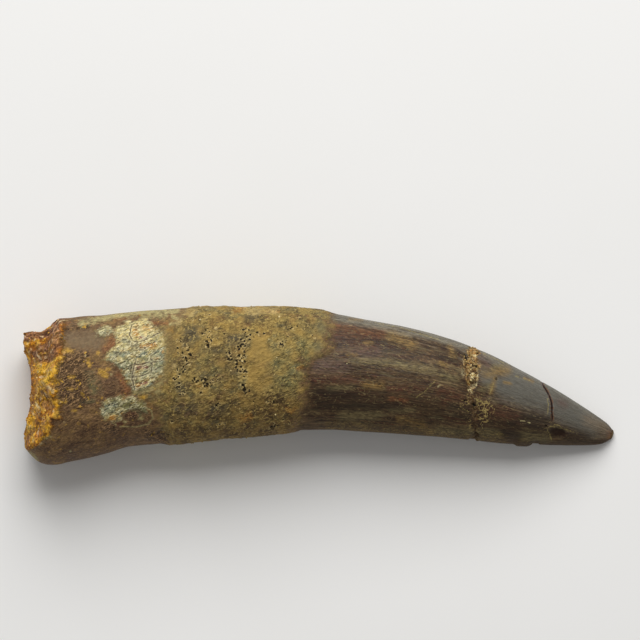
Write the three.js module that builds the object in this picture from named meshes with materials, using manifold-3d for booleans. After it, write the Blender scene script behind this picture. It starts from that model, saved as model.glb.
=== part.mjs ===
// A fossil spinosaur tooth: a long conical crown on a thick root, filled with ochre sandstone where the root
// is broken across, and coated round the neck with a band of pitted sandy crust.
// It lies on its side. +X runs from the broken root to the tip, +Y points to the convex edge, and +Z is up.
// The origin is under the middle of the tooth, on the surface it lies on. Sizes are in millimetres.
import * as THREE from "three";
import { mergeVertices } from "three/addons/utils/BufferGeometryUtils.js";
import Module from "manifold-3d";

// Outline: convex edge x, y and concave edge x, y at each station, from the broken root to the tip.
const EDGES = [
  [-37.9, 8.3, -37.8, -8.1],
  [-36.1, 8.3, -36.1, -9.8],
  [-34.0, 8.5, -34.0, -10.2],
  [-31.4, 8.7, -31.4, -9.6],
  [-27.6, 9.0, -27.6, -8.8],
  [-23.5, 9.3, -23.7, -7.8],
  [-19.4, 9.7, -19.6, -7.3],
  [-15.3, 9.9, -15.5, -7.0],
  [-10.1, 9.8, -10.4, -6.6],
  [-3.7, 9.7, -4.5, -6.0],
  [1.4, 9.2, 0.2, -5.8],
  [6.6, 8.3, 4.7, -5.9],
  [11.7, 7.3, 9.4, -6.2],
  [16.9, 5.9, 14.3, -6.6],
  [22.0, 3.9, 19.2, -7.1],
  [26.5, 1.6, 23.9, -7.6],
  [30.5, -0.6, 28.4, -7.7],
  [33.8, -2.7, 32.3, -7.8],
  [36.1, -4.2, 35.1, -7.8],
  [37.3, -5.1, 36.6, -7.6],
  [37.9, -5.8, 37.6, -7.1],
];
const TIP_REACH = 0.15;

// Cross-section: thickness as a share of width, the power of its oval, and the flat worn on the underside.
const THICKNESS_AT_ROOT = 0.82;
const THICKNESS_AT_TIP = 0.92;
const OVAL_POWER = 2.15;
const REST_CUT = 0.15;

// Rings stand closer together where the relief is sharper: each span ends at x, with this step.
const RING_SPANS = [
  [-32.5, 0.5],
  [-20.5, 1.2],
  [-15.5, 0.6],
  [-4.5, 1.1],
  [2.5, 0.65],
  [17.5, 1.4],
  [22.5, 0.5],
  [26.5, 0.8],
  [29.5, 0.4],
  [36.0, 0.75],
  [37.7, 0.3],
];
const SEGMENTS = 42;

// Broken root: the wall ends far back on the upper convex side, and close to the end on the other.
const BREAK_ANGLE = 60;
const WALL_END_BROKEN = -33.1;
const WALL_END_WHOLE = -39.0;
const WALL_RAGGED = 0.4;
const WALL_THICKNESS = 1.7;
const BREAK_RAMP = { upper: 0.8, convex: 2.0 };
const BREAK_SLOPE = 0.85;
const END_HOLLOW = 0.95;
const END_HOLLOW_HALF_HEIGHT = 5.8;
const END_HOLLOW_LENGTH = 2.4;
const END_DISH = 0.7;
const END_CAP_SHARES = [0.87, 0.7, 0.52, 0.33, 0.15];
const SANDSTONE_ROUGHNESS = 0.3;
const SANDSTONE_GRAIN = 1.4;

// Sandy coat round the neck: the x of its two ragged edges, on the convex side and on the concave side.
const COAT_HEIGHT = 0.3;
const COAT_START = { convex: -16.6, concave: -19.2 };
const COAT_END = { convex: 1.4, concave: -3.6 };
const COAT_RAGGED = 1.1;
const COAT_RAGGED_SIZE = 3.6;
const COAT_EDGE_RAMP = { start: 0.7, end: 0.8 };
const COAT_ROUGHNESS = 0.07;
const COAT_GRAIN = 1.1;

// Sand-filled crack round the crown, broader on top, and a fine open one nearer the tip.
const CRACK_X = 19.7;
const CRACK_WANDER = 0.5;
const CRACK_HALF_WIDTH = { broad: 1.15, narrow: 0.6 };
const CRACK_DEPTH = 0.2;
const CRACK_FILL_ROUGHNESS = 0.3;
const CRACK_FILL_GRAIN = 0.9;
const TIP_CRACK = { convexX: 28.6, slant: 0.3, halfWidth: 0.35, depth: 0.22 };

// Slow lumps of the root and the crown, with finer ones half as high between them.
const ROOT_LUMPS = 0.16;
const CROWN_LUMPS = 0.06;
const LUMP_SIZE = 6;
const FINE_LUMP_SIZE = 2.5;

// Dents, and a lump as a dent of negative depth: middle x, y, half length, half height and depth.
const DENTS = [
  [30.6, -6.3, 1.2, 0.9, 0.5],
  [27.9, -7.7, 0.5, 0.6, 0.3],
  [26.3, -7.7, 1.2, 0.9, -0.3],
  [-32.0, 7.4, 1.6, 0.4, 0.25],
  [-20.0, -6.4, 1.1, 0.8, 0.3],
];

// Pits in the coat: x, share of the half width toward the convex edge, and radius, all on the upper side.
const PITS = [
  [-14.6, 0.84, 0.4],
  [-14.3, 0.45, 0.5],
  [-13.5, 0.57, 0.35],
  [-16.8, 0.25, 0.45],
  [-9.3, 0.56, 0.4],
  [-7.6, 0.59, 0.4],
  [-10.0, 0.4, 0.45],
  [-11.6, 0.23, 0.45],
  [-10.3, 0.18, 0.5],
  [-9.5, 0.22, 0.45],
  [-10.1, 0.04, 0.45],
  [-9.4, -0.24, 0.6],
  [-14.3, -0.12, 0.5],
  [-15.1, -0.26, 0.4],
  [-18.9, -0.39, 0.4],
  [-13.0, -0.47, 0.4],
  [-4.8, 0.4, 0.4],
  [-5.5, -0.84, 0.4],
];
// More pits lie scattered over the hidden side of the coat.
const HIDDEN_PITS = 7;
const HIDDEN_PIT_X = { first: -16.5, step: 2.1 };
const HIDDEN_PIT_RADIUS = 0.42;
const HIDDEN_PIT_ANGLES = [
  [-65, -15],
  [-165, -115],
];
const GOLDEN_SHARE = 0.618034;

const { degToRad, lerp, smoothstep } = THREE.MathUtils;
const ROOT_X = EDGES[0][0];
const TIP_X = EDGES.at(-1)[0];
const BOTTOM = -Math.PI / 2;

// A repeatable random number from -1 to 1 for each whole-number corner of space.
function cornerValue(x, y, z) {
  let bits = (Math.imul(x, 374761393) + Math.imul(y, 668265263) + Math.imul(z, 2147483629)) >>> 0;
  bits = Math.imul(bits ^ (bits >>> 13), 1274126177) >>> 0;
  return ((bits ^ (bits >>> 16)) >>> 0) / 2147483648 - 1;
}

// Smooth noise from -1 to 1, with lumps about one size across.
function noise(p, size) {
  const at = [p.x / size, p.y / size, p.z / size];
  const cell = at.map(Math.floor);
  const [u, v, w] = at.map((t, i) => (t - cell[i]) ** 2 * (3 - 2 * (t - cell[i])));
  const row = (j, k) => {
    const left = cornerValue(cell[0], cell[1] + j, cell[2] + k);
    const right = cornerValue(cell[0] + 1, cell[1] + j, cell[2] + k);
    return lerp(left, right, u);
  };
  return lerp(lerp(row(0, 0), row(1, 0), v), lerp(row(0, 1), row(1, 1), v), w);
}

// The outline between stations, as a smooth curve through them.
function edgesAt(station) {
  const first = Math.min(Math.floor(station), EDGES.length - 2);
  const t = station - first;
  const row = (i) => EDGES[Math.max(0, Math.min(EDGES.length - 1, i))];
  return EDGES[0].map((_, i) => {
    const [a, b, c, d] = [row(first - 1)[i], row(first)[i], row(first + 1)[i], row(first + 2)[i]];
    return b + 0.5 * t * (c - a + t * (2 * a - 5 * b + 4 * c - d + t * (3 * (b - c) + d - a)));
  });
}

// The centre line, half width, half thickness and across direction at a station.
function sectionAt(station) {
  const [outerX, outerY, innerX, innerY] = edgesAt(station);
  const across = new THREE.Vector3(outerX - innerX, outerY - innerY, 0);
  const halfWidth = across.length() / 2;
  const centre = new THREE.Vector3((outerX + innerX) / 2, (outerY + innerY) / 2, 0);
  const share = lerp(THICKNESS_AT_ROOT, THICKNESS_AT_TIP, (centre.x - ROOT_X) / (TIP_X - ROOT_X));
  return { centre, halfWidth, halfDepth: halfWidth * share, across: across.normalize() };
}

// The station whose centre line stands at x.
function stationAt(x) {
  let [low, high] = [0, EDGES.length - 1];
  for (let i = 0; i < 40; i++) {
    const middle = (low + high) / 2;
    if (sectionAt(middle).centre.x < x) low = middle;
    else high = middle;
  }
  return (low + high) / 2;
}

// Where the root wall ends, at an angle round the tooth.
function wallEnd(p, angle) {
  const facing = Math.cos(angle - degToRad(BREAK_ANGLE));
  return lerp(WALL_END_BROKEN, WALL_END_WHOLE, smoothstep(-facing, 0, 0.55)) + WALL_RAGGED * noise(p, 1.6);
}

// How bare the sandstone filling is: 0 on sound wall, 1 where the wall is gone.
function bareness(p, angle) {
  const ramp = lerp(BREAK_RAMP.upper, BREAK_RAMP.convex, Math.max(0, Math.cos(angle)));
  return smoothstep(wallEnd(p, angle) - p.x, 0, ramp);
}

// The sandy coat's share of its full height.
function coatCover(p, angle) {
  const ragged = COAT_RAGGED * (noise(p, COAT_RAGGED_SIZE) + 0.5 * noise(p, COAT_RAGGED_SIZE / 2));
  const start = lerp(COAT_START.concave, COAT_START.convex, smoothstep(Math.cos(angle), 0.1, 0.75)) + ragged;
  const end = lerp(COAT_END.concave, COAT_END.convex, smoothstep(Math.cos(angle), -0.5, 0.5)) + ragged;
  const begun = smoothstep(p.x, start - COAT_EDGE_RAMP.start, start + COAT_EDGE_RAMP.start);
  return begun * (1 - smoothstep(p.x, end - COAT_EDGE_RAMP.end, end + COAT_EDGE_RAMP.end));
}

function crackRelief(p, angle) {
  const middle = CRACK_X + CRACK_WANDER * noise(p, FINE_LUMP_SIZE);
  const onTop = smoothstep(Math.sin(angle), -0.2, 0.6);
  const halfWidth = lerp(CRACK_HALF_WIDTH.narrow, CRACK_HALF_WIDTH.broad, onTop);
  const inside = 1 - smoothstep(Math.abs(p.x - middle), halfWidth - 0.4, halfWidth + 0.2);
  return inside * (CRACK_FILL_ROUGHNESS * noise(p, CRACK_FILL_GRAIN) - CRACK_DEPTH);
}

// The fine crack leans toward the tip as it goes round to the concave side.
function tipCrackRelief(p) {
  const middle = TIP_CRACK.convexX - TIP_CRACK.slant * p.y;
  return TIP_CRACK.depth * (smoothstep(Math.abs(p.x - middle), 0, TIP_CRACK.halfWidth) - 1);
}

function dentRelief(p, angle) {
  const onUpperSide = smoothstep(Math.sin(angle), -0.3, 0);
  const depths = DENTS.map(([x, y, halfLength, halfHeight, depth]) => {
    const away = Math.hypot((p.x - x) / halfLength, (p.y - y) / halfHeight);
    return depth * (1 - smoothstep(away, 0.5, 1.1));
  });
  return -onUpperSide * depths.reduce((sum, depth) => sum + depth);
}

function sandstoneRoughness(p) {
  return SANDSTONE_ROUGHNESS * (noise(p, SANDSTONE_GRAIN) + 0.5 * noise(p, SANDSTONE_GRAIN / 2));
}

// How far the surface stands out from the smooth outline.
function reliefAt(p, angle) {
  const bare = bareness(p, angle);
  const coat = coatCover(p, angle);
  const slow = lerp(ROOT_LUMPS, CROWN_LUMPS, smoothstep(p.x, -5, 5));
  const lumps = slow * (noise(p, LUMP_SIZE) + 0.5 * noise(p, FINE_LUMP_SIZE));
  const crust = COAT_HEIGHT + COAT_ROUGHNESS * noise(p, COAT_GRAIN);
  const wall = (1 - bare) * lumps;
  const filling = bare * (sandstoneRoughness(p) - WALL_THICKNESS);
  return wall + filling + coat * crust + crackRelief(p, angle) + tipCrackRelief(p) + dentRelief(p, angle);
}

// The end of the root is hollow along its edge, fading out over a short length.
function endHollow(p) {
  const bow = Math.max(0, 1 - ((p.y + 0.2) / END_HOLLOW_HALF_HEIGHT) ** 2);
  return END_HOLLOW * bow * smoothstep(ROOT_X + END_HOLLOW_LENGTH - p.x, 0, END_HOLLOW_LENGTH);
}

// The point of the tooth's surface at a station and an angle, where 0 faces the convex edge and 90 is up.
function surfacePoint(station, angle) {
  const { centre, halfWidth, halfDepth, across } = sectionAt(station);
  const [c, s] = [Math.cos(angle), Math.sin(angle)];
  const oval = (Math.abs(c) ** OVAL_POWER + Math.abs(s) ** OVAL_POWER) ** (-1 / OVAL_POWER);
  const normal = across.clone().multiplyScalar(c / halfWidth).setZ(s / halfDepth).normalize();
  const smoothPoint = centre.clone().addScaledVector(across, halfWidth * oval * c);
  smoothPoint.z = halfDepth * (1 + oval * s);
  const underside = new THREE.Vector3(centre.x, centre.y, 0);
  const lift = COAT_HEIGHT * coatCover(underside, BOTTOM) - REST_CUT;
  const point = smoothPoint.clone().addScaledVector(normal, reliefAt(smoothPoint, angle));
  const behindWall = Math.max(0, wallEnd(smoothPoint, angle) - smoothPoint.x);
  point.z += lift - BREAK_SLOPE * behindWall * Math.max(0, s);
  point.x += endHollow(point);
  point.z = Math.max(0, point.z);
  return point;
}

function ringAt(station) {
  const turn = (2 * Math.PI) / SEGMENTS;
  return Array.from({ length: SEGMENTS }, (_, i) => surfacePoint(station, BOTTOM + i * turn));
}

// The broken end: smaller and smaller rings of rough, dished sandstone, from the middle outward.
function endCapRings(rim) {
  const middle = rim.reduce((sum, p) => sum.add(p), new THREE.Vector3()).divideScalar(rim.length);
  const rings = END_CAP_SHARES.toReversed().map((share) =>
    rim.map((edge) => {
      const p = middle.clone().lerp(edge, share);
      p.x += END_DISH * (1 - share ** 2) + sandstoneRoughness(p);
      return p;
    }),
  );
  middle.x += END_DISH;
  return { middle, rings };
}

// All the rings, from the middle of the broken end to the tip.
function toothRings() {
  const stations = [0];
  let x = sectionAt(0).centre.x;
  for (const [end, step] of RING_SPANS) {
    const count = Math.round((end - x) / step);
    for (let i = 1; i <= count; i++) stations.push(stationAt(lerp(x, end, i / count)));
    x = end;
  }
  const sides = stations.map(ringAt);
  const { middle, rings } = endCapRings(sides[0]);
  const last = sectionAt(stations.at(-1));
  const tip = last.centre.clone().setX(TIP_X + TIP_REACH).setZ(last.halfDepth - REST_CUT);
  return { start: middle, rings: [...rings, ...sides], end: tip };
}

// A closed skin over the rings, with a fan of triangles at each end.
function skinOver({ start, rings, end }) {
  const corners = [start, ...rings.flat(), end];
  const at = (ring, i) => 1 + ring * SEGMENTS + (i % SEGMENTS);
  const faces = [];
  for (let i = 0; i < SEGMENTS; i++) {
    faces.push(0, at(0, i + 1), at(0, i));
    for (let ring = 0; ring < rings.length - 1; ring++) {
      faces.push(at(ring, i), at(ring, i + 1), at(ring + 1, i + 1));
      faces.push(at(ring, i), at(ring + 1, i + 1), at(ring + 1, i));
    }
    faces.push(at(rings.length - 1, i), at(rings.length - 1, i + 1), corners.length - 1);
  }
  const geometry = new THREE.BufferGeometry().setFromPoints(corners);
  geometry.setIndex(faces);
  return geometry;
}

const wasm = await Module();
wasm.setup();

function solidFrom(geometry) {
  const bare = geometry.clone();
  bare.deleteAttribute("normal");
  bare.deleteAttribute("uv");
  const merged = mergeVertices(bare, 1e-4);
  const vertProperties = Float32Array.from(merged.attributes.position.array);
  const triVerts = Uint32Array.from(merged.index.array);
  return new wasm.Manifold(new wasm.Mesh({ numProp: 3, vertProperties, triVerts }));
}

function geometryFrom(solid) {
  const { vertProperties, triVerts } = solid.getMesh();
  const geometry = new THREE.BufferGeometry();
  geometry.setAttribute("position", new THREE.BufferAttribute(vertProperties, 3));
  geometry.setIndex(new THREE.BufferAttribute(triVerts, 1));
  geometry.computeVertexNormals();
  return geometry;
}

// A pit is the hollow left by a rough ball centred on the surface.
function pitSolid([x, share, radius]) {
  const ball = new THREE.IcosahedronGeometry(radius, 0);
  const middle = surfacePoint(stationAt(x), Math.acos(share));
  ball.translate(middle.x, middle.y, middle.z);
  return solidFrom(ball);
}

// The same on the hidden side, where the pits keep clear of the flat that the tooth rests on.
function hiddenPitSolid(index) {
  const [from, to] = HIDDEN_PIT_ANGLES[index % 2];
  const angle = degToRad(lerp(from, to, (index * GOLDEN_SHARE) % 1));
  const ball = new THREE.IcosahedronGeometry(HIDDEN_PIT_RADIUS, 0);
  const middle = surfacePoint(stationAt(HIDDEN_PIT_X.first + index * HIDDEN_PIT_X.step), angle);
  ball.translate(middle.x, middle.y, middle.z);
  return solidFrom(ball);
}

const hiddenPits = Array.from({ length: HIDDEN_PITS }, (_, i) => hiddenPitSolid(i));
const pits = [...PITS.map(pitSolid), ...hiddenPits];
const toothSolid = pits.reduce((solid, pit) => solid.subtract(pit), solidFrom(skinOver(toothRings())));

const tooth = new THREE.Mesh(
  geometryFrom(toothSolid),
  new THREE.MeshStandardMaterial({ color: 0x6b5638, roughness: 0.62, metalness: 0 }),
);
tooth.name = "fossil_tooth";

const part = new THREE.Group();
part.add(tooth);

export default part;
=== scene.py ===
"""A fossil spinosaur tooth lying on its side, with sand grains still stuck to it.

Sizes are in millimetres until a mesh is made. +X runs from the broken root to the tip, +Y points to
the convex edge and +Z is up. Marks on the upper side are placed by x and y, as seen from above.
"""

import bpy
import numpy as np
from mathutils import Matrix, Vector


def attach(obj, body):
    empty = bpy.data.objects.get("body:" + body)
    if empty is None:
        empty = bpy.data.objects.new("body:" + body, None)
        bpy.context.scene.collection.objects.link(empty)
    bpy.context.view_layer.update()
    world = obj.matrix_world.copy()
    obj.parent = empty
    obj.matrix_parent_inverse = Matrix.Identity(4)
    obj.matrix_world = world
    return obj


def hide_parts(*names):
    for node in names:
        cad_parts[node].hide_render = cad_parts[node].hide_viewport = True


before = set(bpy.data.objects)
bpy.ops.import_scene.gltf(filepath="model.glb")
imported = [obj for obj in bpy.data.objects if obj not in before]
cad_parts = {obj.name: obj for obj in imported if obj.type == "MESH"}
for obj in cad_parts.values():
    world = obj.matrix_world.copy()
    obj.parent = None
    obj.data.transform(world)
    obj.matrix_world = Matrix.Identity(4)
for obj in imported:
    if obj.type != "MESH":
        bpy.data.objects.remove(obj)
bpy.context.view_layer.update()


# ---------------------------------------------------------------------------------------------------------
# The tooth's plain form: a long cone of dentine bent toward one edge, oval across, on a root that is a
# little thicker. It lies on its side, and a narrow strip of the underside is worn flat where it rests.
# ---------------------------------------------------------------------------------------------------------

# Convex edge x, y and concave edge x, y at each station, from the broken root to the tip.
EDGES = np.array([
    (-37.9, 8.3, -37.8, -8.1),
    (-36.1, 8.3, -36.1, -9.8),
    (-34.0, 8.5, -34.0, -10.2),
    (-31.4, 8.7, -31.4, -9.6),
    (-27.6, 9.0, -27.6, -8.8),
    (-23.5, 9.3, -23.7, -7.8),
    (-19.4, 9.7, -19.6, -7.3),
    (-15.3, 9.9, -15.5, -7.0),
    (-10.1, 9.8, -10.4, -6.6),
    (-3.7, 9.7, -4.5, -6.0),
    (1.4, 9.2, 0.2, -5.8),
    (6.6, 8.3, 4.7, -5.9),
    (11.7, 7.3, 9.4, -6.2),
    (16.9, 5.9, 14.3, -6.6),
    (22.0, 3.9, 19.2, -7.1),
    (26.5, 1.6, 23.9, -7.6),
    (30.5, -0.6, 28.4, -7.7),
    (33.8, -2.7, 32.3, -7.8),
    (36.1, -4.2, 35.1, -7.8),
    (37.3, -5.1, 36.6, -7.6),
    (37.9, -5.8, 37.6, -7.1),
])
THICKNESS_AT_ROOT = 0.82
THICKNESS_AT_TIP = 0.92
OVAL_POWER = 2.15
REST_CUT = 0.15
ROOT_X = EDGES[0][0]
TIP_X = EDGES[-1][0]
FLOW_RADIUS = 8.0


def lerp(a, b, t):
    return a + (b - a) * t


def sections_at(station):
    """Centre x and y, half width, half thickness and the direction to the convex edge, at each station."""
    first = np.minimum(station.astype(int), len(EDGES) - 2)
    a, b, c, d = (EDGES[np.clip(first + step, 0, len(EDGES) - 1)] for step in (-1, 0, 1, 2))
    t = (station - first)[:, None]
    curve = b + 0.5 * t * (c - a + t * (2 * a - 5 * b + 4 * c - d + t * (3 * (b - c) + d - a)))
    outer, inner = curve[:, :2], curve[:, 2:]
    across = outer - inner
    width = np.linalg.norm(across, axis=1)
    centre = (outer + inner) / 2
    share = lerp(THICKNESS_AT_ROOT, THICKNESS_AT_TIP, (centre[:, 0] - ROOT_X) / (TIP_X - ROOT_X))
    return centre, width / 2, width / 2 * share, across / width[:, None]


STATION_COUNT = 4001
ALL_STATIONS = np.linspace(0.0, len(EDGES) - 1.0, STATION_COUNT)
CENTRE_LINE = sections_at(ALL_STATIONS)[0]
STEPS_ALONG = np.linalg.norm(np.diff(CENTRE_LINE, axis=0), axis=1)
DISTANCE_ALONG = np.concatenate([[0.0], np.cumsum(STEPS_ALONG)])


def stations_at(x):
    """The stations whose centre line stands at each x."""
    return np.interp(x, CENTRE_LINE[:, 0], ALL_STATIONS)


def plain_surface(station, angle):
    """Points and outward normals of the smooth form; angle 0 faces the convex edge and 90 degrees is up."""
    centre, half_width, half_depth, across = sections_at(station)
    c, s = np.cos(angle), np.sin(angle)
    oval = (np.abs(c) ** OVAL_POWER + np.abs(s) ** OVAL_POWER) ** (-1 / OVAL_POWER)
    flat = centre + across * (half_width * oval * c)[:, None]
    points = np.column_stack([flat, half_depth * (1 + oval * s)])
    normals = np.column_stack([across * (c / half_width)[:, None], s / half_depth])
    return points, normals / np.linalg.norm(normals, axis=1)[:, None]


def flow_at(station, angle):
    """Coordinates that run along the tooth and round it, so that streaks follow its bend."""
    along = np.interp(station, ALL_STATIONS, DISTANCE_ALONG)
    return np.column_stack([along, FLOW_RADIUS * np.cos(angle), FLOW_RADIUS * np.sin(angle)])


# ---------------------------------------------------------------------------------------------------------
# Root bone: the mineralised root, olive brown and dull, with slow lumps, fine ripples of old bone, yellow
# and rust stains, and a groove under its upper edge.
# ---------------------------------------------------------------------------------------------------------

ROOT_LUMPS = 0.16
CROWN_LUMPS = 0.06
LUMPS_EASE_OFF = (-5, 5)  # the x where the root's lumps begin to sink, and where only the crown's are left
LUMP_SIZES = {6.0: 1.0, 2.5: 0.5}  # each size of noise with its share, as in the other tables of sizes
RIPPLES_END = (-20, -17)  # the x where ripples begin to fade, and where they are gone
RIPPLE_HEIGHT = 0.05
RIPPLE_SIZE = 0.55
RIPPLE_STRETCH = (1.4, 0.9, 0.9)
FINE_RIPPLE_SIZE = 0.3
FAINT_RIPPLES = 0.35  # the share of that height that is left away from the rippled strokes
RIPPLED = [(1.8, -32.5, 1.4, -29.5, 0.6), (1.4, -32.5, -2.5, -28.0, -4.5)]
ROOT_GROOVE = [(-32.8, 7.1), (-31.0, 7.4), (-29.6, 7.6)]
ROOT_GROOVE_DEPTH = 0.18
ROOT_GROOVE_EDGE = (0.05, 0.35)
LAYER_HEIGHT = 0.07
LAYER_SIZE = 0.4
LAYER_STRETCH = (7.0, 1.0, 1.0)
LAYERED_EDGE = (0.75, 0.95)  # the cosines of angle between which the convex edge's layers come up
LAYER_SLANT = np.radians(-28)
OFF_STROKES = -2.0  # the mark of a point that is far from every stroke
# Stains of a finish, a few of them partly painted shade, sheen and highlight, as noted where they stand.
# Each has a paint, strength, and strokes, each its half width and the points of its line.
ROOT_STAINS = {
    "root_grey": ("76644A", 0.8, [(1.6, -31.4, 5.9, -28.6, 5.8)]),
    "root_tan": ("86683A", 0.7, [
        (1.2, -18.6, 8.2, -18.8, 3.0, -20.6, -0.6, -22.0, -2.4), (0.8, -34.0, 4.6, -32.6, 5.0),
        (0.7, -28.6, 3.6, -26.8, 2.2),
    ]),
    "root_neck": ("94854F", 0.65, [(1.2, -19.7, 7.0, -19.4, 4.0, -19.5, 0.8)]),
    "root_cream": ("A29664", 0.8, [
        (0.45, -22.6, 8.7, -19.6, 8.9), (0.45, -23.6, -0.8, -22.6, -0.8, -20.9, -0.2, -19.8, 0.6),
        (0.4, -20.2, 1.6, -19.8, 3.0), (0.4, -22.8, -4.2), (0.22, -24.9, -4.7),
        (0.13, -22.2, -2.8, -21.4, -3.2, -21.2, -4.2, -21.8, -5.0, -23.3, -5.4, -25.4, -5.3),
        (0.4, -20.6, -0.9, -19.6, -0.6),
    ]),
    "root_red": ("55291A", 0.85, [(0.45, -24.6, -3.6, -23.6, -3.8), (0.25, -26.4, -5.0, -25.2, -5.0)]),
    "root_green": ("5A5A3C", 0.7, [
        (0.35, -30.4, -2.1, -28.8, -2.0), (0.9, -29.3, 1.2, -28.7, -0.6),
        (0.57, -24.5, -2.3, -22.7, -2.2, -22.9, -1.4, -21.3, -1.6), (0.46, -23.6, -3.0, -22.7, -3.6),
    ]),
    "root_rust": ("7C4C2A", 0.7, [
        (0.62, -27.2, 4.6, -26.2, 5.8, -25.9, 5.9), (0.55, -25.5, 1.4, -24.4, -0.6, -25.1, -1.4),
        (0.26, -34.0, 7.1, -32.0, 8.0), (0.28, -21.3, 7.9, -19.4, 7.8), (0.25, -26.2, 8.4, -24.7, 8.5),
    ]),
    "root_dark": ("44301E", 0.7, [
        (1.2, -32.6, 3.2, -30.8, 3.0, -32.8, 1.4, -30.4, 0.8, -32.6, -0.8, -30.6, -1.6),
        (0.46, -29.8, 3.9, -29.8, 3.4), (0.5, -24.4, -3.7, -23.5, -4.0), (0.5, -27.2, -5.4, -26.2, -5.6),
        (0.69, -21.8, -6.4, -19.9, -6.7), (0.3, -32.8, 7.1, -31.0, 7.4, -29.6, 7.6),
    ]),
    "root_yellow": ("B88F36", 0.9, [
        (0.22, -32.9, 0.7), (0.8, -34.4, 2.4, -33.4, 3.5), (0.5, -34.4, 1.8, -34.0, 0.4),
        (0.4, -22.7, -1.6, -22.3, -1.5), (0.31, -31.9, 1.0, -31.4, 1.1), (0.25, -32.0, -0.5, -31.5, -0.5),
        (0.2, -30.3, -1.0, -30.0, -1.5), (0.2, -31.5, -3.3, -31.0, -3.2),
        (0.18, -32.3, -1.7, -32.3, -2.3), (0.5, -27.9, 1.8, -27.2, 1.4), (0.3, -29.5, 3.3, -29.3, 2.4),
        (0.3, -28.2, 4.2), (0.4, -32.7, 4.4, -31.7, 4.4), (0.18, -28.3, -0.4), (0.18, -28.3, -2.2),
    ]),
    "root_pale": ("B8AE78", 0.8, [
        (0.2, -26.5, 1.4), (0.2, -24.7, -4.7), (0.18, -26.0, -5.1), (0.18, -31.8, -8.5),
        (0.15, -29.8, 3.8), (0.15, -32.5, -4.8), (0.45, -30.5, 8.0, -26.4, 8.8, -21.7, 9.4, -18.2, 9.5),
        (0.3, -18.8, 8.8, -18.1, 8.4), (0.2, -19.0, 7.7, -18.1, 7.9),
        (0.32, -37.2, -8.3, -36.3, -7.6, -35.3, -6.7, -34.5, -6.5),
        (0.32, -37.6, -8.5, -36.6, -9.2, -36.3, -9.7),
    ]),
}


def ease(value, low, high):
    """0 below low, 1 above high, and a smooth curve between."""
    t = np.clip((value - low) / (high - low), 0.0, 1.0)
    return t * t * (3.0 - 2.0 * t)


def corner_value(x, y, z):
    """A repeatable random number from -1 to 1 for each whole-number corner of space."""
    bits = (x * 374761393 + y * 668265263 + z * 2147483629) & 0xFFFFFFFF
    bits = ((bits ^ (bits >> 13)) * 1274126177) & 0xFFFFFFFF
    return (bits ^ (bits >> 16)) / 2147483648.0 - 1.0


def noise(p, size, stretch=(1.0, 1.0, 1.0)):
    """Smooth noise from -1 to 1, with lumps about one size across, longer where stretch is over 1."""
    at = p / (size * np.array(stretch))
    cell = np.floor(at).astype(np.int64)
    t = at - cell
    u, v, w = (t * t * (3.0 - 2.0 * t)).T
    i, j, k = cell.T

    def row(dj, dk):
        return lerp(corner_value(i, j + dj, k + dk), corner_value(i + 1, j + dj, k + dk), u)

    return lerp(lerp(row(0, 0), row(1, 0), v), lerp(row(0, 1), row(1, 1), v), w)


def noises(p, sizes):
    """Noise of several sizes added up, each with its share."""
    return sum(share * noise(p, size) for size, share in sizes.items())


def distance_to_line(points, line):
    """How far each point is, in plan, from a line of straight stretches, or from a single point."""
    line = np.array(line, float)
    nearest = np.linalg.norm(points[:, :2] - line[0], axis=1)
    for start, end in zip(line[:-1], line[1:]):
        along = end - start
        share = np.clip(((points[:, :2] - start) @ along) / (along @ along), 0.0, 1.0)
        gap = np.linalg.norm(points[:, :2] - start - share[:, None] * along, axis=1)
        nearest = np.minimum(nearest, gap)
    return nearest


def marks(points, strokes):
    """1 in the middle of the nearest stroke, 0 at its edge. A stroke is a half width and a line."""
    nearest = np.full(len(points), OFF_STROKES)
    for half_width, *line in strokes:
        gap = distance_to_line(points, np.reshape(line, (-1, 2)))
        nearest = np.maximum(nearest, 1 - gap / half_width)
    return nearest


def upper_side(angle):
    """1 on the side that faces up, 0 on the hidden side."""
    return ease(np.sin(angle), -0.2, 0.05)


def root_relief(p, angle):
    slow = lerp(ROOT_LUMPS, CROWN_LUMPS, ease(p[:, 0], *LUMPS_EASE_OFF))
    on_root = 1 - ease(p[:, 0], *RIPPLES_END)
    rippled = FAINT_RIPPLES + (1 - FAINT_RIPPLES) * ease(marks(p, RIPPLED), 0, 0.6) * upper_side(angle)
    ripples = noise(p, RIPPLE_SIZE, RIPPLE_STRETCH) + 0.5 * noise(p, FINE_RIPPLE_SIZE)
    layers = LAYER_HEIGHT * ease(np.cos(angle), *LAYERED_EDGE) * noise(p, LAYER_SIZE, LAYER_STRETCH)
    groove = ROOT_GROOVE_DEPTH * (1 - ease(distance_to_line(p, ROOT_GROOVE), *ROOT_GROOVE_EDGE))
    raised = RIPPLE_HEIGHT * rippled * ripples + layers - groove * upper_side(angle)
    return slow * noises(p, LUMP_SIZES) + on_root * raised


def paint(code):
    """A colour for a shader socket from its six-digit screen code."""
    screen = np.array([int(code[i : i + 2], 16) / 255 for i in (0, 2, 4)])
    light = np.where(screen <= 0.04045, screen / 12.92, ((screen + 0.055) / 1.055) ** 2.4)
    return (*light.tolist(), 1.0)


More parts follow.
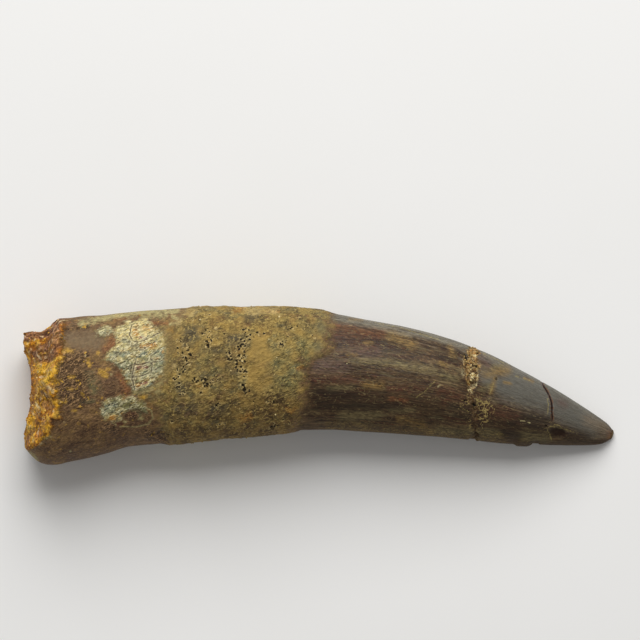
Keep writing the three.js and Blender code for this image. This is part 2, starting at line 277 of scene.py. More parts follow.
class Wiring:
    """Adds nodes to one shader tree. Any input may be a plain value or another node's socket."""

    def __init__(self, tree):
        self.tree = tree

    def plug(self, value, socket):
        if isinstance(value, bpy.types.NodeSocket):
            self.tree.links.new(value, socket)
        else:
            socket.default_value = value

    def node(self, kind, inputs, **settings):
        """A new node with its settings, and its inputs by name or by number."""
        node = self.tree.nodes.new(kind)
        for name, value in settings.items():
            setattr(node, name, value)
        for name, value in inputs.items():
            self.plug(value, node.inputs[name])
        return node

    def maths(self, operation, a, b=0.0):
        return self.node("ShaderNodeMath", {0: a, 1: b}, operation=operation).outputs[0]

    def vectors(self, operation, a, b):
        return self.node("ShaderNodeVectorMath", {0: a, 1: b}, operation=operation).outputs[0]

    def add(self, a, b):
        return self.maths("ADD", a, b)

    def times(self, a, b):
        return self.maths("MULTIPLY", a, b)

    def step(self, value, low, high):
        """0 below low and 1 above high, or the other way round when low is the greater."""
        inputs = {"Value": value, "From Min": low, "From Max": high}
        return self.node("ShaderNodeMapRange", inputs, interpolation_type="SMOOTHSTEP").outputs[0]

    def colour(self, share, a, b):
        """Colour a turning into colour b as share goes from 0 to 1."""
        return self.node("ShaderNodeMix", {0: share, 6: a, 7: b}, data_type="RGBA").outputs[2]

    def ground(self, noise, low, high, a, b):
        """One paint that turns into another as noise goes from low to high."""
        return self.colour(self.step(noise, low, high), paint(a), paint(b))

    def over(self, colour, code, share, strength=1.0):
        """Paint laid over a colour, as much as its share and strength say."""
        return self.colour(self.times(share, strength), colour, paint(code))

    def washed(self, colour, washes):
        """Paints laid over a colour, each as its noise goes from one value to another, with a strength."""
        for code, noise, low, high, strength in washes:
            colour = self.over(colour, code, self.step(noise, low, high), strength)
        return colour

    def shaded(self, colour, noise, dark, light):
        """A colour times dark where noise from 0 to 1 is low, through to times light where it is high."""
        inputs = {0: colour, "Scale": self.value(self.step(noise, 0.38, 0.62), dark, light)}
        return self.node("ShaderNodeVectorMath", inputs, operation="SCALE").outputs[0]

    def value(self, share, a, b):
        return self.node("ShaderNodeMix", {0: share, 2: a, 3: b}, data_type="FLOAT").outputs[0]

    def stretched(self, place, x, y, z):
        return self.vectors("MULTIPLY", place, (x, y, z))

    def mirrored(self, place):
        """Places turned over, where the same noise runs differently."""
        return self.stretched(place, 1.0, 1.0, -1.0)

    def turned(self, place, angle):
        inputs = {"Vector": place, "Angle": angle}
        return self.node("ShaderNodeVectorRotate", inputs, rotation_type="Z_AXIS").outputs[0]

    def clouds(self, place, size, detail=3.0, rough=0.55):
        """Noise from 0 to 1 with lumps about one size across, in millimetres."""
        inputs = {"Vector": place, "Scale": 1 / size, "Detail": detail, "Roughness": rough}
        return self.node("ShaderNodeTexNoise", inputs).outputs[0]

    def threads(self, place, size, width, detail=2.0):
        """1 along fine winding lines, with loops about one size across."""
        off_line = self.maths("ABSOLUTE", self.add(self.clouds(place, size, detail), -0.5))
        return self.step(off_line, width, width * 0.3)

    def cells(self, place, size, feature="F1"):
        inputs = {"Vector": place, "Scale": 1 / size}
        return self.node("ShaderNodeTexVoronoi", inputs, feature=feature).outputs[0]

    def field(self, name):
        """A number kept at each point of the tooth's mesh."""
        return self.node("ShaderNodeAttribute", {}, attribute_name=name).outputs["Fac"]

    def frayed(self, name, noise, reach):
        """A field of the mesh, moved up and down by noise, up to half of reach, so that its edges fray."""
        return self.add(self.field(name), self.times(self.add(noise, -0.5), reach))

    def warped(self, place, size, reach):
        """Places pushed about by noise, up to half of reach, in lumps about one size across."""
        inputs = {"Vector": place, "Scale": 1 / size, "Detail": 2.0}
        noise = self.node("ShaderNodeTexNoise", inputs).outputs[1]
        centred = self.vectors("SUBTRACT", noise, (0.5, 0.5, 0.5))
        return self.vectors("ADD", place, self.stretched(centred, reach, reach, reach))

    def stained(self, colour, stains, fray, grain, soft=0.0):
        """A colour under stains. Noise frays their edges, more or less soft, and thins them inside."""
        thinned = self.value(self.step(grain, 0.36, 0.54), 0.65, 1.0)
        for name, (code, strength, _) in stains.items():
            share = self.step(self.frayed(name, fray, 3.5), -0.4 - soft, 0.9 + 0.5 * soft)
            colour = self.over(colour, code, self.times(share, thinned), strength)
        return colour


def root_bone(w, place, flow):
    slanted = w.stretched(w.turned(place, LAYER_SLANT), 0.6, 1.2, 1.0)
    broad = w.clouds(place, 2.6, 4.0)
    blotch = w.clouds(slanted, 1.0, 4.0, 0.65)
    grain = w.clouds(slanted, 0.28, 2.0, 0.6)
    coarse = w.step(w.field("root_dark"), -0.5, 0.5)
    smooth = w.step(w.field("root_grey"), -0.3, 0.5)
    rough = w.value(smooth, w.value(coarse, 0.45, 1.0), 0.12)
    colour = w.ground(broad, 0.38, 0.62, "5E452E", "735939")
    colour = w.washed(colour, [("432C1A", blotch, 0.48, 0.36, 0.55), ("8F7040", blotch, 0.54, 0.66, 0.45)])
    colour = w.stained(colour, ROOT_STAINS, w.clouds(place, 0.5, 5.0, 0.75), blotch)
    colour = w.over(colour, "A58258", w.threads(slanted, 0.5, 0.05), w.times(rough, 0.7))
    colour = w.over(colour, "23160C", w.threads(w.mirrored(slanted), 0.5, 0.05), w.times(rough, 0.6))
    ochre = w.step(w.clouds(place, 0.8, 4.0, 0.6), 0.62, 0.68)
    colour = w.over(colour, "BE9434", ochre, w.times(rough, 0.9))
    colour = w.shaded(colour, grain, w.value(rough, 0.9, 0.68), w.value(rough, 1.07, 1.4))
    roughness = w.value(broad, 0.55, 0.8)
    return colour, roughness, w.times(grain, w.times(rough, 0.35))


# ---------------------------------------------------------------------------------------------------------
# Broken root end: the bone wall is snapped off far back on the upper convex side and close to the end on
# the other. What it held is ochre sandstone, set hard in the pulp cavity, rough and a little hollow.
# ---------------------------------------------------------------------------------------------------------

BREAK_ANGLE = np.radians(60)
WALL_END_BROKEN = -33.1
WALL_END_WHOLE = -39.0
# The wall's ragged end on the upper side, by y and x.
WALL_END_UPPER = np.array([
    (-8.6, -38.2), (-7.8, -36.4), (-6.5, -35.1), (-5.8, -34.7), (-4.7, -34.4), (-2.8, -33.6),
    (-0.8, -34.2), (0.6, -34.7), (2.1, -34.2), (3.6, -33.2), (5.5, -33.5), (8.6, -33.1),
])
WALL_RAGGED = 0.4
WALL_RAGGED_SIZES = {1.6: 1.0, 0.6: 0.7}
WALL_THICKNESS = 1.7
BREAK_RAMP_UPPER = 0.8
BREAK_RAMP_CONVEX = 2.0
BREAK_SLOPE = 0.85
END_HOLLOW = 0.95
END_HOLLOW_HALF_HEIGHT = 5.8
END_HOLLOW_LENGTH = 2.4
END_DISH = 0.7
SANDSTONE_ROUGHNESS = 0.3
SANDSTONE_SIZES = {1.4: 1.0, 0.7: 0.6, 0.35: 0.45}
SEAM_SIZE = 0.45
SEAM_STRETCH = (4.0, 1.0, 2.0)
SAND_STAINS = {
    "sand_yellow": ("D8AC38", 0.85, [
        (0.45, -34.6, 2.9, -33.4, 3.4), (0.5, -34.8, 1.6, -33.6, 2.2), (0.4, -35.2, -0.2, -34.6, 1.2),
        (0.4, -35.8, 0.5, -34.6, 1.0), (0.6, -36.3, 3.5, -35.9, 2.2),
    ]),
    "sand_dark": ("4E2A12", 0.85, [
        (0.31, -35.4, -0.8, -34.7, -1.6), (0.26, -36.5, -1.9, -35.5, -2.1),
        (0.26, -34.1, -4.3, -33.9, -4.9), (0.26, -36.6, -5.4, -35.9, -5.7), (0.6, -37.8, 7.7, -35.6, 7.9),
        (0.6, -35.0, 8.0, -33.0, 8.7),
    ]),
    "sand_olive": ("6E6432", 0.7, [(0.4, -36.5, -6.6, -37.3, -6.8)]),
    "sand_pale": ("CDBE8E", 0.8, [
        (0.24, -36.1, 2.1), (0.26, -37.3, -4.0), (0.26, -36.7, -2.6, -35.9, -3.3), (0.2, -36.1, -4.1),
        (0.24, -34.1, -0.6, -34.5, -0.2), (0.2, -37.6, -9.2, -36.3, -8.4, -35.3, -7.4, -34.5, -7.0),
    ]),
    "sand_orange": ("CC8C24", 0.9, [(0.35, -34.5, 5.8), (0.5, -36.8, 0.2, -37.0, 3.0)]),
}
PURPLE_LAYERS = [
    (0.75, -36.6, 5.1, -34.2, 6.3), (0.7, -35.8, 4.2, -34.0, 4.4),
    (0.6, -37.8, 7.5, -35.4, 7.9, -34.0, 8.2, -33.0, 8.6), (0.6, -33.7, 7.6, -33.3, 5.2),
]


def wall_end(p, angle):
    """The x at which the root wall is broken off, round the tooth."""
    facing = np.cos(angle - BREAK_ANGLE)
    around = lerp(WALL_END_BROKEN, WALL_END_WHOLE, ease(-facing, 0, 0.55))
    from_above = np.interp(p[:, 1], *WALL_END_UPPER.T)
    ragged = WALL_RAGGED * noises(p, WALL_RAGGED_SIZES)
    return lerp(around + ragged, from_above + 0.6 * ragged, upper_side(angle))


def bareness(p, angle):
    """0 on sound wall, 1 where the sandstone shows."""
    ramp = lerp(BREAK_RAMP_UPPER, BREAK_RAMP_CONVEX, np.maximum(0, np.cos(angle)))
    return ease((wall_end(p, angle) - p[:, 0]) / ramp, 0, 1)


def sandstone_roughness(p):
    along = p[:, 0] * np.cos(LAYER_SLANT) - p[:, 1] * np.sin(LAYER_SLANT)
    across = p[:, 0] * np.sin(LAYER_SLANT) + p[:, 1] * np.cos(LAYER_SLANT)
    seams = noise(np.column_stack([along, across, p[:, 2]]), SEAM_SIZE, SEAM_STRETCH)
    layered = ease(marks(p, PURPLE_LAYERS), -0.2, 0.4)
    return SANDSTONE_ROUGHNESS * (noises(p, SANDSTONE_SIZES) + 0.8 * layered * seams)


def end_hollow(points):
    bow = np.maximum(0, 1 - ((points[:, 1] + 0.2) / END_HOLLOW_HALF_HEIGHT) ** 2)
    return END_HOLLOW * bow * ease(ROOT_X + END_HOLLOW_LENGTH - points[:, 0], 0, END_HOLLOW_LENGTH)


def ochre_sandstone(w, place, flow):
    slanted = w.stretched(w.turned(place, LAYER_SLANT), 0.7, 1.2, 1.0)
    broad = w.clouds(place, 2.2, 3.0)
    lump = w.clouds(place, 1.3, 2.0, 0.5)
    grain = w.clouds(place, 0.5, 2.0, 0.55)
    drift = w.clouds(slanted, 1.6, 3.0, 0.55)
    colour = w.ground(broad, 0.4, 0.6, "B07014", "D69E20")
    colour = w.washed(colour, [("6E4016", lump, 0.47, 0.34, 0.8), ("E6B84C", lump, 0.53, 0.66, 0.7)])
    colour = w.over(colour, "A87C54", w.step(drift, 0.54, 0.64), 0.6)
    colour = w.stained(colour, SAND_STAINS, w.clouds(place, 0.6, 4.0, 0.7), lump)
    layer = w.clouds(w.stretched(slanted, 0.4, 1.4, 1.0), 0.42, 3.0, 0.6)
    layers = w.ground(layer, 0.42, 0.54, "50301F", "966844")
    layers = w.over(layers, "C89C8C", w.step(layer, 0.57, 0.68), 0.7)
    purple = w.step(w.frayed("layers", lump, 3.0), -0.5, 0.4)
    colour = w.colour(w.times(purple, 0.85), colour, layers)
    colour = w.over(colour, "4A260C", w.threads(place, 1.3, 0.03), 0.65)
    crumb = w.clouds(w.mirrored(place), 0.8, 2.0, 0.5)
    colour = w.over(colour, "E6CC9C", w.step(crumb, 0.6, 0.68), 0.5)
    # Grain tone, with a little painted shade: darker in the sandstone's hollows, lighter on its lumps.
    colour = w.shaded(colour, w.add(grain, w.times(w.field("raised"), 0.05)), 0.74, 1.3)
    roughness = w.value(grain, 0.8, 0.5)
    return colour, roughness, w.add(w.times(grain, 0.2), w.times(lump, 0.5))


# ---------------------------------------------------------------------------------------------------------
# Pale patches: on the root the brown skin has flaked away, and the cream and grey-green layer under it is
# crazed with fine dark cracks. A second patch lies lower, and one more on the hidden side.
# ---------------------------------------------------------------------------------------------------------

CREAM_PATCH = [
    (-24.5, 8.4), (-23.6, 8.2), (-22.0, 8.5), (-20.9, 7.2), (-19.9, 6.7), (-19.6, 3.7), (-20.0, 1.5),
    (-21.5, -0.1), (-23.3, -0.9), (-24.5, 0.4), (-25.0, 1.6), (-26.6, 3.1), (-27.7, 3.3), (-26.8, 4.3),
    (-25.5, 5.5), (-26.2, 6.6), (-25.8, 7.3),
]
GREY_PATCH = [
    (-28.0, -3.5), (-27.4, -1.8), (-25.6, -1.4), (-23.6, -1.6), (-22.3, -2.4), (-21.9, -3.6),
    (-23.2, -3.0), (-24.6, -3.2), (-25.2, -4.4), (-26.2, -4.7), (-27.4, -4.3),
]
SMALL_PATCH = [(-28.4, 6.4), (-28.3, 7.2), (-27.6, 7.6), (-26.6, 7.4), (-26.1, 6.6), (-27.7, 6.3)]
PATCH_CRACKS = [
    [(-23.8, 8.4), (-24.1, 7.1), (-24.2, 6.4), (-23.8, 5.7), (-23.1, 5.5), (-21.8, 6.0), (-20.2, 6.8)],
    [(-23.5, -0.5), (-23.9, 1.0), (-23.6, 2.5), (-23.4, 3.2)],
    [(-23.4, 2.6), (-22.6, 2.7), (-21.5, 3.0), (-20.9, 3.0), (-19.8, 3.1)],
    [(-23.7, 1.0), (-22.0, 1.4), (-21.4, 1.7), (-21.3, 2.5), (-21.5, 3.7), (-20.6, 4.3)],
    [(-22.9, 4.5), (-22.2, 4.7)],
]
PATCH_CRACK_DEPTH = 0.14
PATCH_CRACK_EDGE = (0.03, 0.16)
PATCH_HEIGHT = 0.06
PATCH_RAGGED = 0.3
PATCH_RAGGED_SIZE = 0.8
PATCH_WRINKLE = 0.045
PATCH_WRINKLE_SIZE = 0.42
PATCH_WRINKLE_STRETCH = (1.6, 0.8, 1.0)
HIDDEN_SHIFT = (5.0, -1.5)  # how far the hidden side's markings are moved
PATCH_STAINS = {
    "patch_blue": ("707A6C", 0.65, [
        (0.8, -27.7, 6.7, -26.7, 6.5), (0.34, -25.0, 5.9, -24.5, 5.6), (0.6, -26.2, 3.8, -25.1, 4.1),
        (0.25, -25.4, 2.3, -25.0, 2.6), (0.25, -24.5, 1.0), (0.3, -24.1, 0.0, -23.6, -0.4),
        (0.37, -20.5, 3.7, -19.9, 3.7), (0.44, -21.1, 2.0, -20.5, 1.8), (0.46, -26.0, -2.2, -25.2, -2.3),
        (0.34, -27.6, -3.6, -27.2, -2.7),
    ]),
    "patch_dark": ("645C48", 0.75, [
        (0.45, -24.1, 5.3, -22.8, 4.7, -21.4, 5.3), (0.35, -24.0, 2.4, -23.6, 0.6),
    ]),
    "patch_olive": ("716C3E", 0.85, [(0.8, -25.2, -2.4, -22.3, -2.8), (0.5, -26.6, -1.7, -25.4, -1.6)]),
    "patch_orange": ("BE8438", 0.8, [
        (0.45, -23.4, 7.3, -23.4, 6.5), (0.4, -22.4, 7.4, -21.6, 7.2), (0.35, -22.6, 4.9, -21.0, 5.2),
        (0.2, -22.7, 7.1, -21.8, 7.6), (0.22, -22.1, 4.9, -21.3, 5.0), (0.25, -19.9, 4.3),
        (0.25, -26.2, -4.3, -26.6, -4.1),
    ]),
    "patch_purple": ("84544A", 0.85, [
        (0.3, -23.5, 2.3, -22.0, 2.3), (0.2, -22.7, 0.2, -22.0, 0.4), (0.17, -22.9, 6.2, -22.0, 5.9),
    ]),
}


def depth_inside(points, outline):
    """Distance in plan from a closed outline, positive inside it."""
    closed = np.array(list(outline) + [outline[0]], float)
    x, y = points[:, 0], points[:, 1]
    inside = np.zeros(len(points), bool)
    for (x0, y0), (x1, y1) in zip(closed[:-1], closed[1:]):
        if y0 != y1:
            inside ^= ((y0 > y) != (y1 > y)) & (x < x0 + (x1 - x0) * (y - y0) / (y1 - y0))
    return np.where(inside, 1.0, -1.0) * distance_to_line(points, closed)


def both_sides(p, angle, measure):
    """What measure says of the markings; the hidden side has the same ones, mirrored and moved."""
    mirrored = np.column_stack([p[:, 0] - HIDDEN_SHIFT[0], HIDDEN_SHIFT[1] - p[:, 1]])
    return lerp(measure(mirrored), measure(p), upper_side(angle))


def patch_depth(p):
    """Distance inside the nearest pale patch, positive inside."""
    outlines = (CREAM_PATCH, GREY_PATCH, SMALL_PATCH)
    return np.maximum.reduce([depth_inside(p, outline) for outline in outlines])


def patch_crack_distance(p):
    return np.minimum.reduce([distance_to_line(p, line) for line in PATCH_CRACKS])


def patch_relief(p, angle):
    depth = both_sides(p, angle, patch_depth) + PATCH_RAGGED * noise(p, PATCH_RAGGED_SIZE)
    inside = ease(depth, -0.2, 0.2)
    wrinkle = PATCH_WRINKLE * noise(p, PATCH_WRINKLE_SIZE, PATCH_WRINKLE_STRETCH)
    open_crack = 1 - ease(patch_crack_distance(p), *PATCH_CRACK_EDGE)
    return inside * (PATCH_HEIGHT + wrinkle) - PATCH_CRACK_DEPTH * open_crack * upper_side(angle)


def pale_flake(w, place, flow):
    slanted = w.stretched(w.turned(place, LAYER_SLANT), 0.5, 1.3, 1.0)
    broad = w.clouds(place, 1.6, 4.0)
    tint = w.clouds(w.mirrored(slanted), 0.9, 4.0, 0.65)
    fleck = w.clouds(slanted, 0.3, 2.0, 0.6)
    craze = w.cells(w.warped(slanted, 0.5, 0.5), 0.8, "DISTANCE_TO_EDGE")
    colour = w.ground(broad, 0.42, 0.58, "8A8862", "B4A26A")
    colour = w.washed(colour, [("BC8234", tint, 0.55, 0.66, 0.7), ("727C6E", tint, 0.45, 0.34, 0.75)])
    bright = w.step(w.add(w.field("toward"), w.times(tint, 0.6)), 0.55, 0.95)
    colour = w.over(colour, "DAC684", bright, 0.6)
    colour = w.stained(colour, PATCH_STAINS, w.clouds(place, 0.45, 4.0, 0.7), broad)
    colour = w.over(colour, "4A4032", w.threads(slanted, 0.7, 0.045, 3.0), 0.6)
    reversed_place = w.stretched(slanted, -1.0, 1.0, 1.0)
    colour = w.over(colour, "E6DCB0", w.threads(reversed_place, 0.65, 0.04, 3.0), 0.6)
    colour = w.over(colour, "38281A", w.step(w.add(craze, w.times(fleck, 0.14)), 0.11, 0.06), 0.45)
    colour = w.shaded(colour, fleck, 0.78, 1.22)
    crack = w.maths("ABSOLUTE", w.frayed("patch_crack_side", fleck, 0.3))
    near = w.times(w.step(w.field("patch_crack"), 0.35, 0.25), w.step(tint, 0.38, 0.52))
    colour = w.over(colour, "EBE0B4", w.times(w.step(crack, 0.26, 0.16), near), 0.35)
    colour = w.over(colour, "2E1C18", w.times(w.step(crack, 0.12, 0.04), near), 0.8)
    roughness = w.value(broad, 0.5, 0.75)
    return colour, roughness, w.add(w.times(fleck, 0.25), w.times(w.step(craze, 0.0, 0.08), 0.05))


# ---------------------------------------------------------------------------------------------------------
# Sandy coat: a thin crust of khaki sandstone cemented round the neck, ragged at both edges. Grains have
# dropped out of it and left dark pits with pale rims, thickest on the root side.
# ---------------------------------------------------------------------------------------------------------

COAT_HEIGHT = 0.3
COAT_START = {"convex": -16.6, "concave": -19.2}
COAT_END = {"convex": 1.4, "concave": -3.6}
# Where the coat ends and the enamel starts on the upper side, by y and x.
COAT_END_UPPER = np.array([
    (-5.8, -3.1), (-3.5, -2.5), (-2.2, -1.6), (-0.4, -2.0), (2.1, -1.8), (3.0, -1.1), (4.3, 1.2),
    (5.7, 1.3), (6.8, 1.6), (7.9, 1.3), (9.0, 1.5),
])
COAT_FRAY = 0.3
COAT_FRAY_SIZES = {1.1: 1.0, 0.45: 0.6}
# Where its colour starts on the upper side, by y and x: a stain runs ahead of the crust.
COAT_STAIN_UPPER = np.array([
    (-9.0, -18.4), (-7.0, -19.4), (-5.5, -20.4), (-3.5, -20.8), (-1.5, -20.9), (0.5, -20.2),
    (1.5, -19.6), (4.0, -19.2), (7.0, -19.4), (8.5, -18.2), (9.5, -17.4),
])
COAT_STAIN_FRAY_SIZE = 1.1
COAT_RAGGED = 1.1
COAT_RAGGED_SIZES = {3.6: 1.0, 1.8: 0.5}
COAT_EDGE_RAMP = {"start": 0.7, "end": 0.8}
COAT_ROUGHNESS = 0.07
COAT_GRAIN = 1.1
COAT_FINE_SIZES = {0.5: 0.6, 0.3: 0.5}
PLAIN_SAND = [
    (-8.0, 6.1), (-6.7, 6.2), (-5.7, 2.9), (-5.7, 0.2),
    (-7.4, -0.8), (-9.0, 0.4), (-9.2, 2.9), (-9.0, 4.5),
]
COAT_STAINS = {
    # Darker patches on the upper side, and a painted shade along the lower flank.
    "coat_shade": ("46372A", 0.6, [
        (1.8, -18.0, -3.8, -12.5, -3.0, -9.0, -2.6, -4.0, -2.8, -1.5, -3.6),
        (1.3, -18.0, -5.6, -9.0, -5.2, -3.0, -4.9), (1.0, -18.4, 5.4, -16.4, 4.6, -16.9, 2.6),
        (0.8, -10.7, 5.6, -10.5, 2.0),
    ]),
    "coat_tan": ("A0813F", 0.55, [
        (1.0, -14.6, 7.8, -9.0, 7.2, -6.0, 7.6), (0.9, -13.6, 4.2, -12.6, 5.8),
        (0.8, -9.4, 4.4, -8.6, 0.4), (0.8, -15.4, -0.5, -13.8, -1.4),
    ]),
    "coat_grey": ("524936", 0.9, [
        (1.1, -18.2, 6.2, -16.0, 6.7), (0.6, -15.9, 7.0, -14.9, 6.7), (0.8, -17.2, -2.9, -15.4, -2.9),
        (1.0, -14.2, 1.8, -11.4, 2.4), (0.7, -11.0, 5.8, -9.5, 5.2), (0.6, -9.2, 8.2, -7.4, 8.3),
        (0.4, -13.4, -2.9, -12.7, -2.8), (0.6, -17.4, -1.2, -18.0, -0.3), (0.5, -15.3, 4.3, -12.9, 4.4),
    ]),
    "coat_tongue": ("6A6448", 0.9, [(1.2, -0.8, 3.4, 0.4, 4.9), (1.3, 0.5, 7.0, 0.5, 5.0)]),
    "coat_green": ("706A42", 0.75, [
        (1.6, -4.9, 2.6, -4.0, 0.0), (0.9, -14.4, 3.4, -13.4, 2.2), (0.8, -2.0, 5.6, -1.4, 3.2),
    ]),
    "coat_umber": ("573E20", 0.8, [
        (1.5, -8.6, -2.8, -4.0, -2.6, -0.6, -3.4), (1.2, -18.0, -6.6, -9.0, -5.9, -1.0, -5.3),
        (0.7, -18.4, -5.0, -16.0, -5.2),
    ]),
    "coat_brown": ("48371F", 0.85, [
        (0.63, -9.4, -2.4, -7.6, -2.3), (0.57, -12.0, -1.2, -10.7, -2.8), (0.52, -7.8, -1.4, -4.9, -1.5),
        (0.57, -12.0, 0.1, -11.1, -0.1), (0.4, -14.7, -4.0, -11.1, -4.3), (0.57, -2.1, -4.3, -0.3, -4.0),
    ]),
    "coat_orange": ("A4702E", 0.8, [
        (0.35, -10.6, 9.3, -9.7, 9.5), (0.2, -15.4, -0.1, -15.1, 0.0),
        (0.4, -9.9, -4.1, -9.2, -4.0, -8.9, -3.8), (0.2, -2.7, 2.1, -2.1, 2.3),
        (0.18, -4.2, -2.7, -3.5, -3.3, -2.9, -2.7), (0.25, -2.1, -3.3, -1.7, -3.4),
        (0.2, -6.6, 9.2, -5.2, 9.2), (0.46, -19.0, 7.2, -19.7, 7.6), (0.46, -22.5, -1.6),
    ]),
    # Pale spots, and a painted highlight along the convex edge.
    "coat_pale": ("BFA872", 0.8, [
        (0.5, -19.4, 8.9, -16.2, 9.2), (0.35, -9.4, 9.4, -5.6, 9.2), (0.41, -9.0, 9.3, -8.1, 9.0),
        (0.3, -18.9, 2.0, -18.6, 2.4), (0.39, -18.8, 8.1, -18.0, 8.2),
    ]),
}
# Where small pits crowd together, as strokes.
PITTED = [
    (0.35, -14.9, 8.5, -14.1, 8.6), (0.6, -14.3, 6.4, -13.9, 5.0),
    (0.7, -17.4, 5.2, -16.8, 3.0, -17.4, 2.1), (0.4, -11.7, 4.0, -11.4, 3.2),
    (0.75, -9.3, 6.5, -9.9, 4.6, -9.9, 2.5, -9.8, 1.4), (0.35, -9.6, 0.1, -9.1, -0.8),
    (0.65, -15.6, 0.4, -14.0, 0.3, -12.8, 0.8), (0.5, -18.2, 1.1, -17.6, -0.8),
    (0.35, -13.1, -2.4, -12.8, -2.4), (0.35, -12.9, -4.9, -12.2, -4.9), (0.7, -22.0, -6.4, -20.1, -6.9),
    (0.35, -5.9, -4.8, -5.3, -4.7), (0.3, -7.8, 6.4, -7.1, 6.5), (0.4, -5.1, 5.3, -4.4, 5.0),
    (0.35, -3.5, 7.3, -3.1, 7.2),
]
# The larger pits of the upper side: x, y and radius.
PITS = [
    (-14.2, 4.9, 0.28), (-14.3, 5.4, 0.2), (-11.5, 4.0, 0.28), (-11.5, 3.3, 0.24), (-16.9, 3.1, 0.24),
    (-16.4, 3.8, 0.2), (-10.1, 4.9, 0.24), (-9.6, 3.8, 0.26), (-10.3, 3.7, 0.22), (-10.4, 3.0, 0.22),
    (-10.0, 2.4, 0.24), (-10.0, 1.7, 0.22), (-9.6, 0.0, 0.28), (-9.4, -0.5, 0.26), (-14.5, 0.7, 0.26),
    (-14.2, 0.2, 0.24), (-15.6, 0.4, 0.22), (-15.0, -0.9, 0.22), (-13.0, -2.4, 0.24), (-5.0, 5.2, 0.26),
    (-5.6, -1.9, 0.22), (-5.7, -4.9, 0.24), (-21.2, -6.2, 0.26), (-20.4, -6.7, 0.22),
]
HIDDEN_PITS = 7
HIDDEN_PIT_X = {"first": -16.5, "step": 2.1}
HIDDEN_PIT_RADIUS = 0.42
HIDDEN_PIT_ANGLES = [(-65, -15), (-165, -115)]
GOLDEN_SHARE = 0.618034
SMALL_PITS = 150
SMALL_PIT_SEED = 11
SMALL_PIT_X = (-19.5, 1.0)
SMALL_PIT_RADIUS = (0.12, 0.22)
PIT_DEPTH = 0.95  # as a share of the pit's radius, like its edge and its rim's middle and width
PIT_EDGE = (0.35, 1.05)
PIT_RIM = {"middle": 1.3, "width": 0.22, "height": 0.05}
PIT_WARP = 0.1
PIT_WARP_SIZE = 0.5
FAR = 9.0  # a distance past every marking's reach


def coat_edges(p, angle):
    """Where the coat starts and ends along the tooth, at each point's angle."""
    ragged = COAT_RAGGED * noises(p, COAT_RAGGED_SIZES)
    toward = np.cos(angle)
    start = lerp(COAT_START["concave"], COAT_START["convex"], ease(toward, 0.1, 0.75)) + ragged
    end = lerp(COAT_END["concave"], COAT_END["convex"], ease(toward, -0.5, 0.5)) + ragged
    end_above = np.interp(p[:, 1], *COAT_END_UPPER.T) + COAT_FRAY * noises(p, COAT_FRAY_SIZES)
    return start, lerp(end, end_above, upper_side(angle))


def coat_cover(p, angle):
    start, end = coat_edges(p, angle)
    begun = ease(p[:, 0], start - COAT_EDGE_RAMP["start"], start + COAT_EDGE_RAMP["start"])
    return begun * (1 - ease(p[:, 0], end - COAT_EDGE_RAMP["end"], end + COAT_EDGE_RAMP["end"]))


def plain_sand(p, angle):
    """1 where the coat is fine and even, on the upper side."""
    return ease(depth_inside(p, PLAIN_SAND), -0.4, 0.6) * upper_side(angle)


def coat_relief(p, angle):
    fine = (1 - 0.7 * plain_sand(p, angle)) * noises(p, COAT_FINE_SIZES)
    return coat_cover(p, angle) * (COAT_HEIGHT + COAT_ROUGHNESS * (noise(p, COAT_GRAIN) + fine))


def coat_depth(p, angle):
    """Distance inside the stained and coated stretch, along the tooth, positive inside."""
    start, end = coat_edges(p, angle)
    stained = np.interp(p[:, 1], *COAT_STAIN_UPPER.T) + COAT_FRAY * noise(p, COAT_STAIN_FRAY_SIZE)
    return np.minimum(p[:, 0] - lerp(start, stained, upper_side(angle)), end - p[:, 0])


def pit_middles():
    """Middle and radius of every pit: the placed ones, the hidden side's, and a scatter of small ones."""
    x, y, radius = np.array(PITS).T
    centre, half_width = sections_at(stations_at(x))[:2]
    angle = np.arccos(np.clip((y - centre[:, 1]) / half_width, -1, 1))
    index = np.arange(HIDDEN_PITS)
    first, last = np.array(HIDDEN_PIT_ANGLES)[index % 2].T
    hidden_angle = np.radians(lerp(first, last, (index * GOLDEN_SHARE) % 1))
    hidden_x = HIDDEN_PIT_X["first"] + HIDDEN_PIT_X["step"] * index
    draw = np.random.default_rng(SMALL_PIT_SEED)
    small_x = draw.uniform(*SMALL_PIT_X, SMALL_PITS)
    small_angle = draw.uniform(0, 2 * np.pi, SMALL_PITS)
    small_radius = lerp(*SMALL_PIT_RADIUS, draw.random(SMALL_PITS) ** 2)
    x = np.concatenate([x, hidden_x, small_x])
    angle = np.concatenate([angle, hidden_angle, small_angle])
    radius = np.concatenate([radius, np.full(HIDDEN_PITS, HIDDEN_PIT_RADIUS), small_radius])
    middles = plain_surface(stations_at(x), angle)[0]
    crusted = coat_cover(middles, angle) * (1 - plain_sand(middles, angle))
    kept = (radius > SMALL_PIT_RADIUS[1]) | (crusted > 0.4)
    return middles[kept], radius[kept]


def pit_shares(p):
    """Each point's distance from the nearest pit's middle, as a share of its radius, and that radius."""
    nearest = np.full(len(p), FAR)
    size = np.zeros(len(p))
    shifts = [noise(p + apart, PIT_WARP_SIZE) for apart in (0.0, 40.0, 80.0)]
    warped = p + PIT_WARP * np.column_stack(shifts)
    for middle, radius in zip(*pit_middles()):
        share = np.linalg.norm(warped - middle, axis=1) / radius
        closer = share < nearest
        nearest[closer] = share[closer]
        size[closer] = radius
    return nearest, size


def pit_relief(p):
    share, radius = pit_shares(p)
    hollow = -PIT_DEPTH * radius * (1 - ease(share, *PIT_EDGE))
    off_rim = (share - PIT_RIM["middle"]) / PIT_RIM["width"]
    return hollow + PIT_RIM["height"] * np.exp(-(off_rim**2))


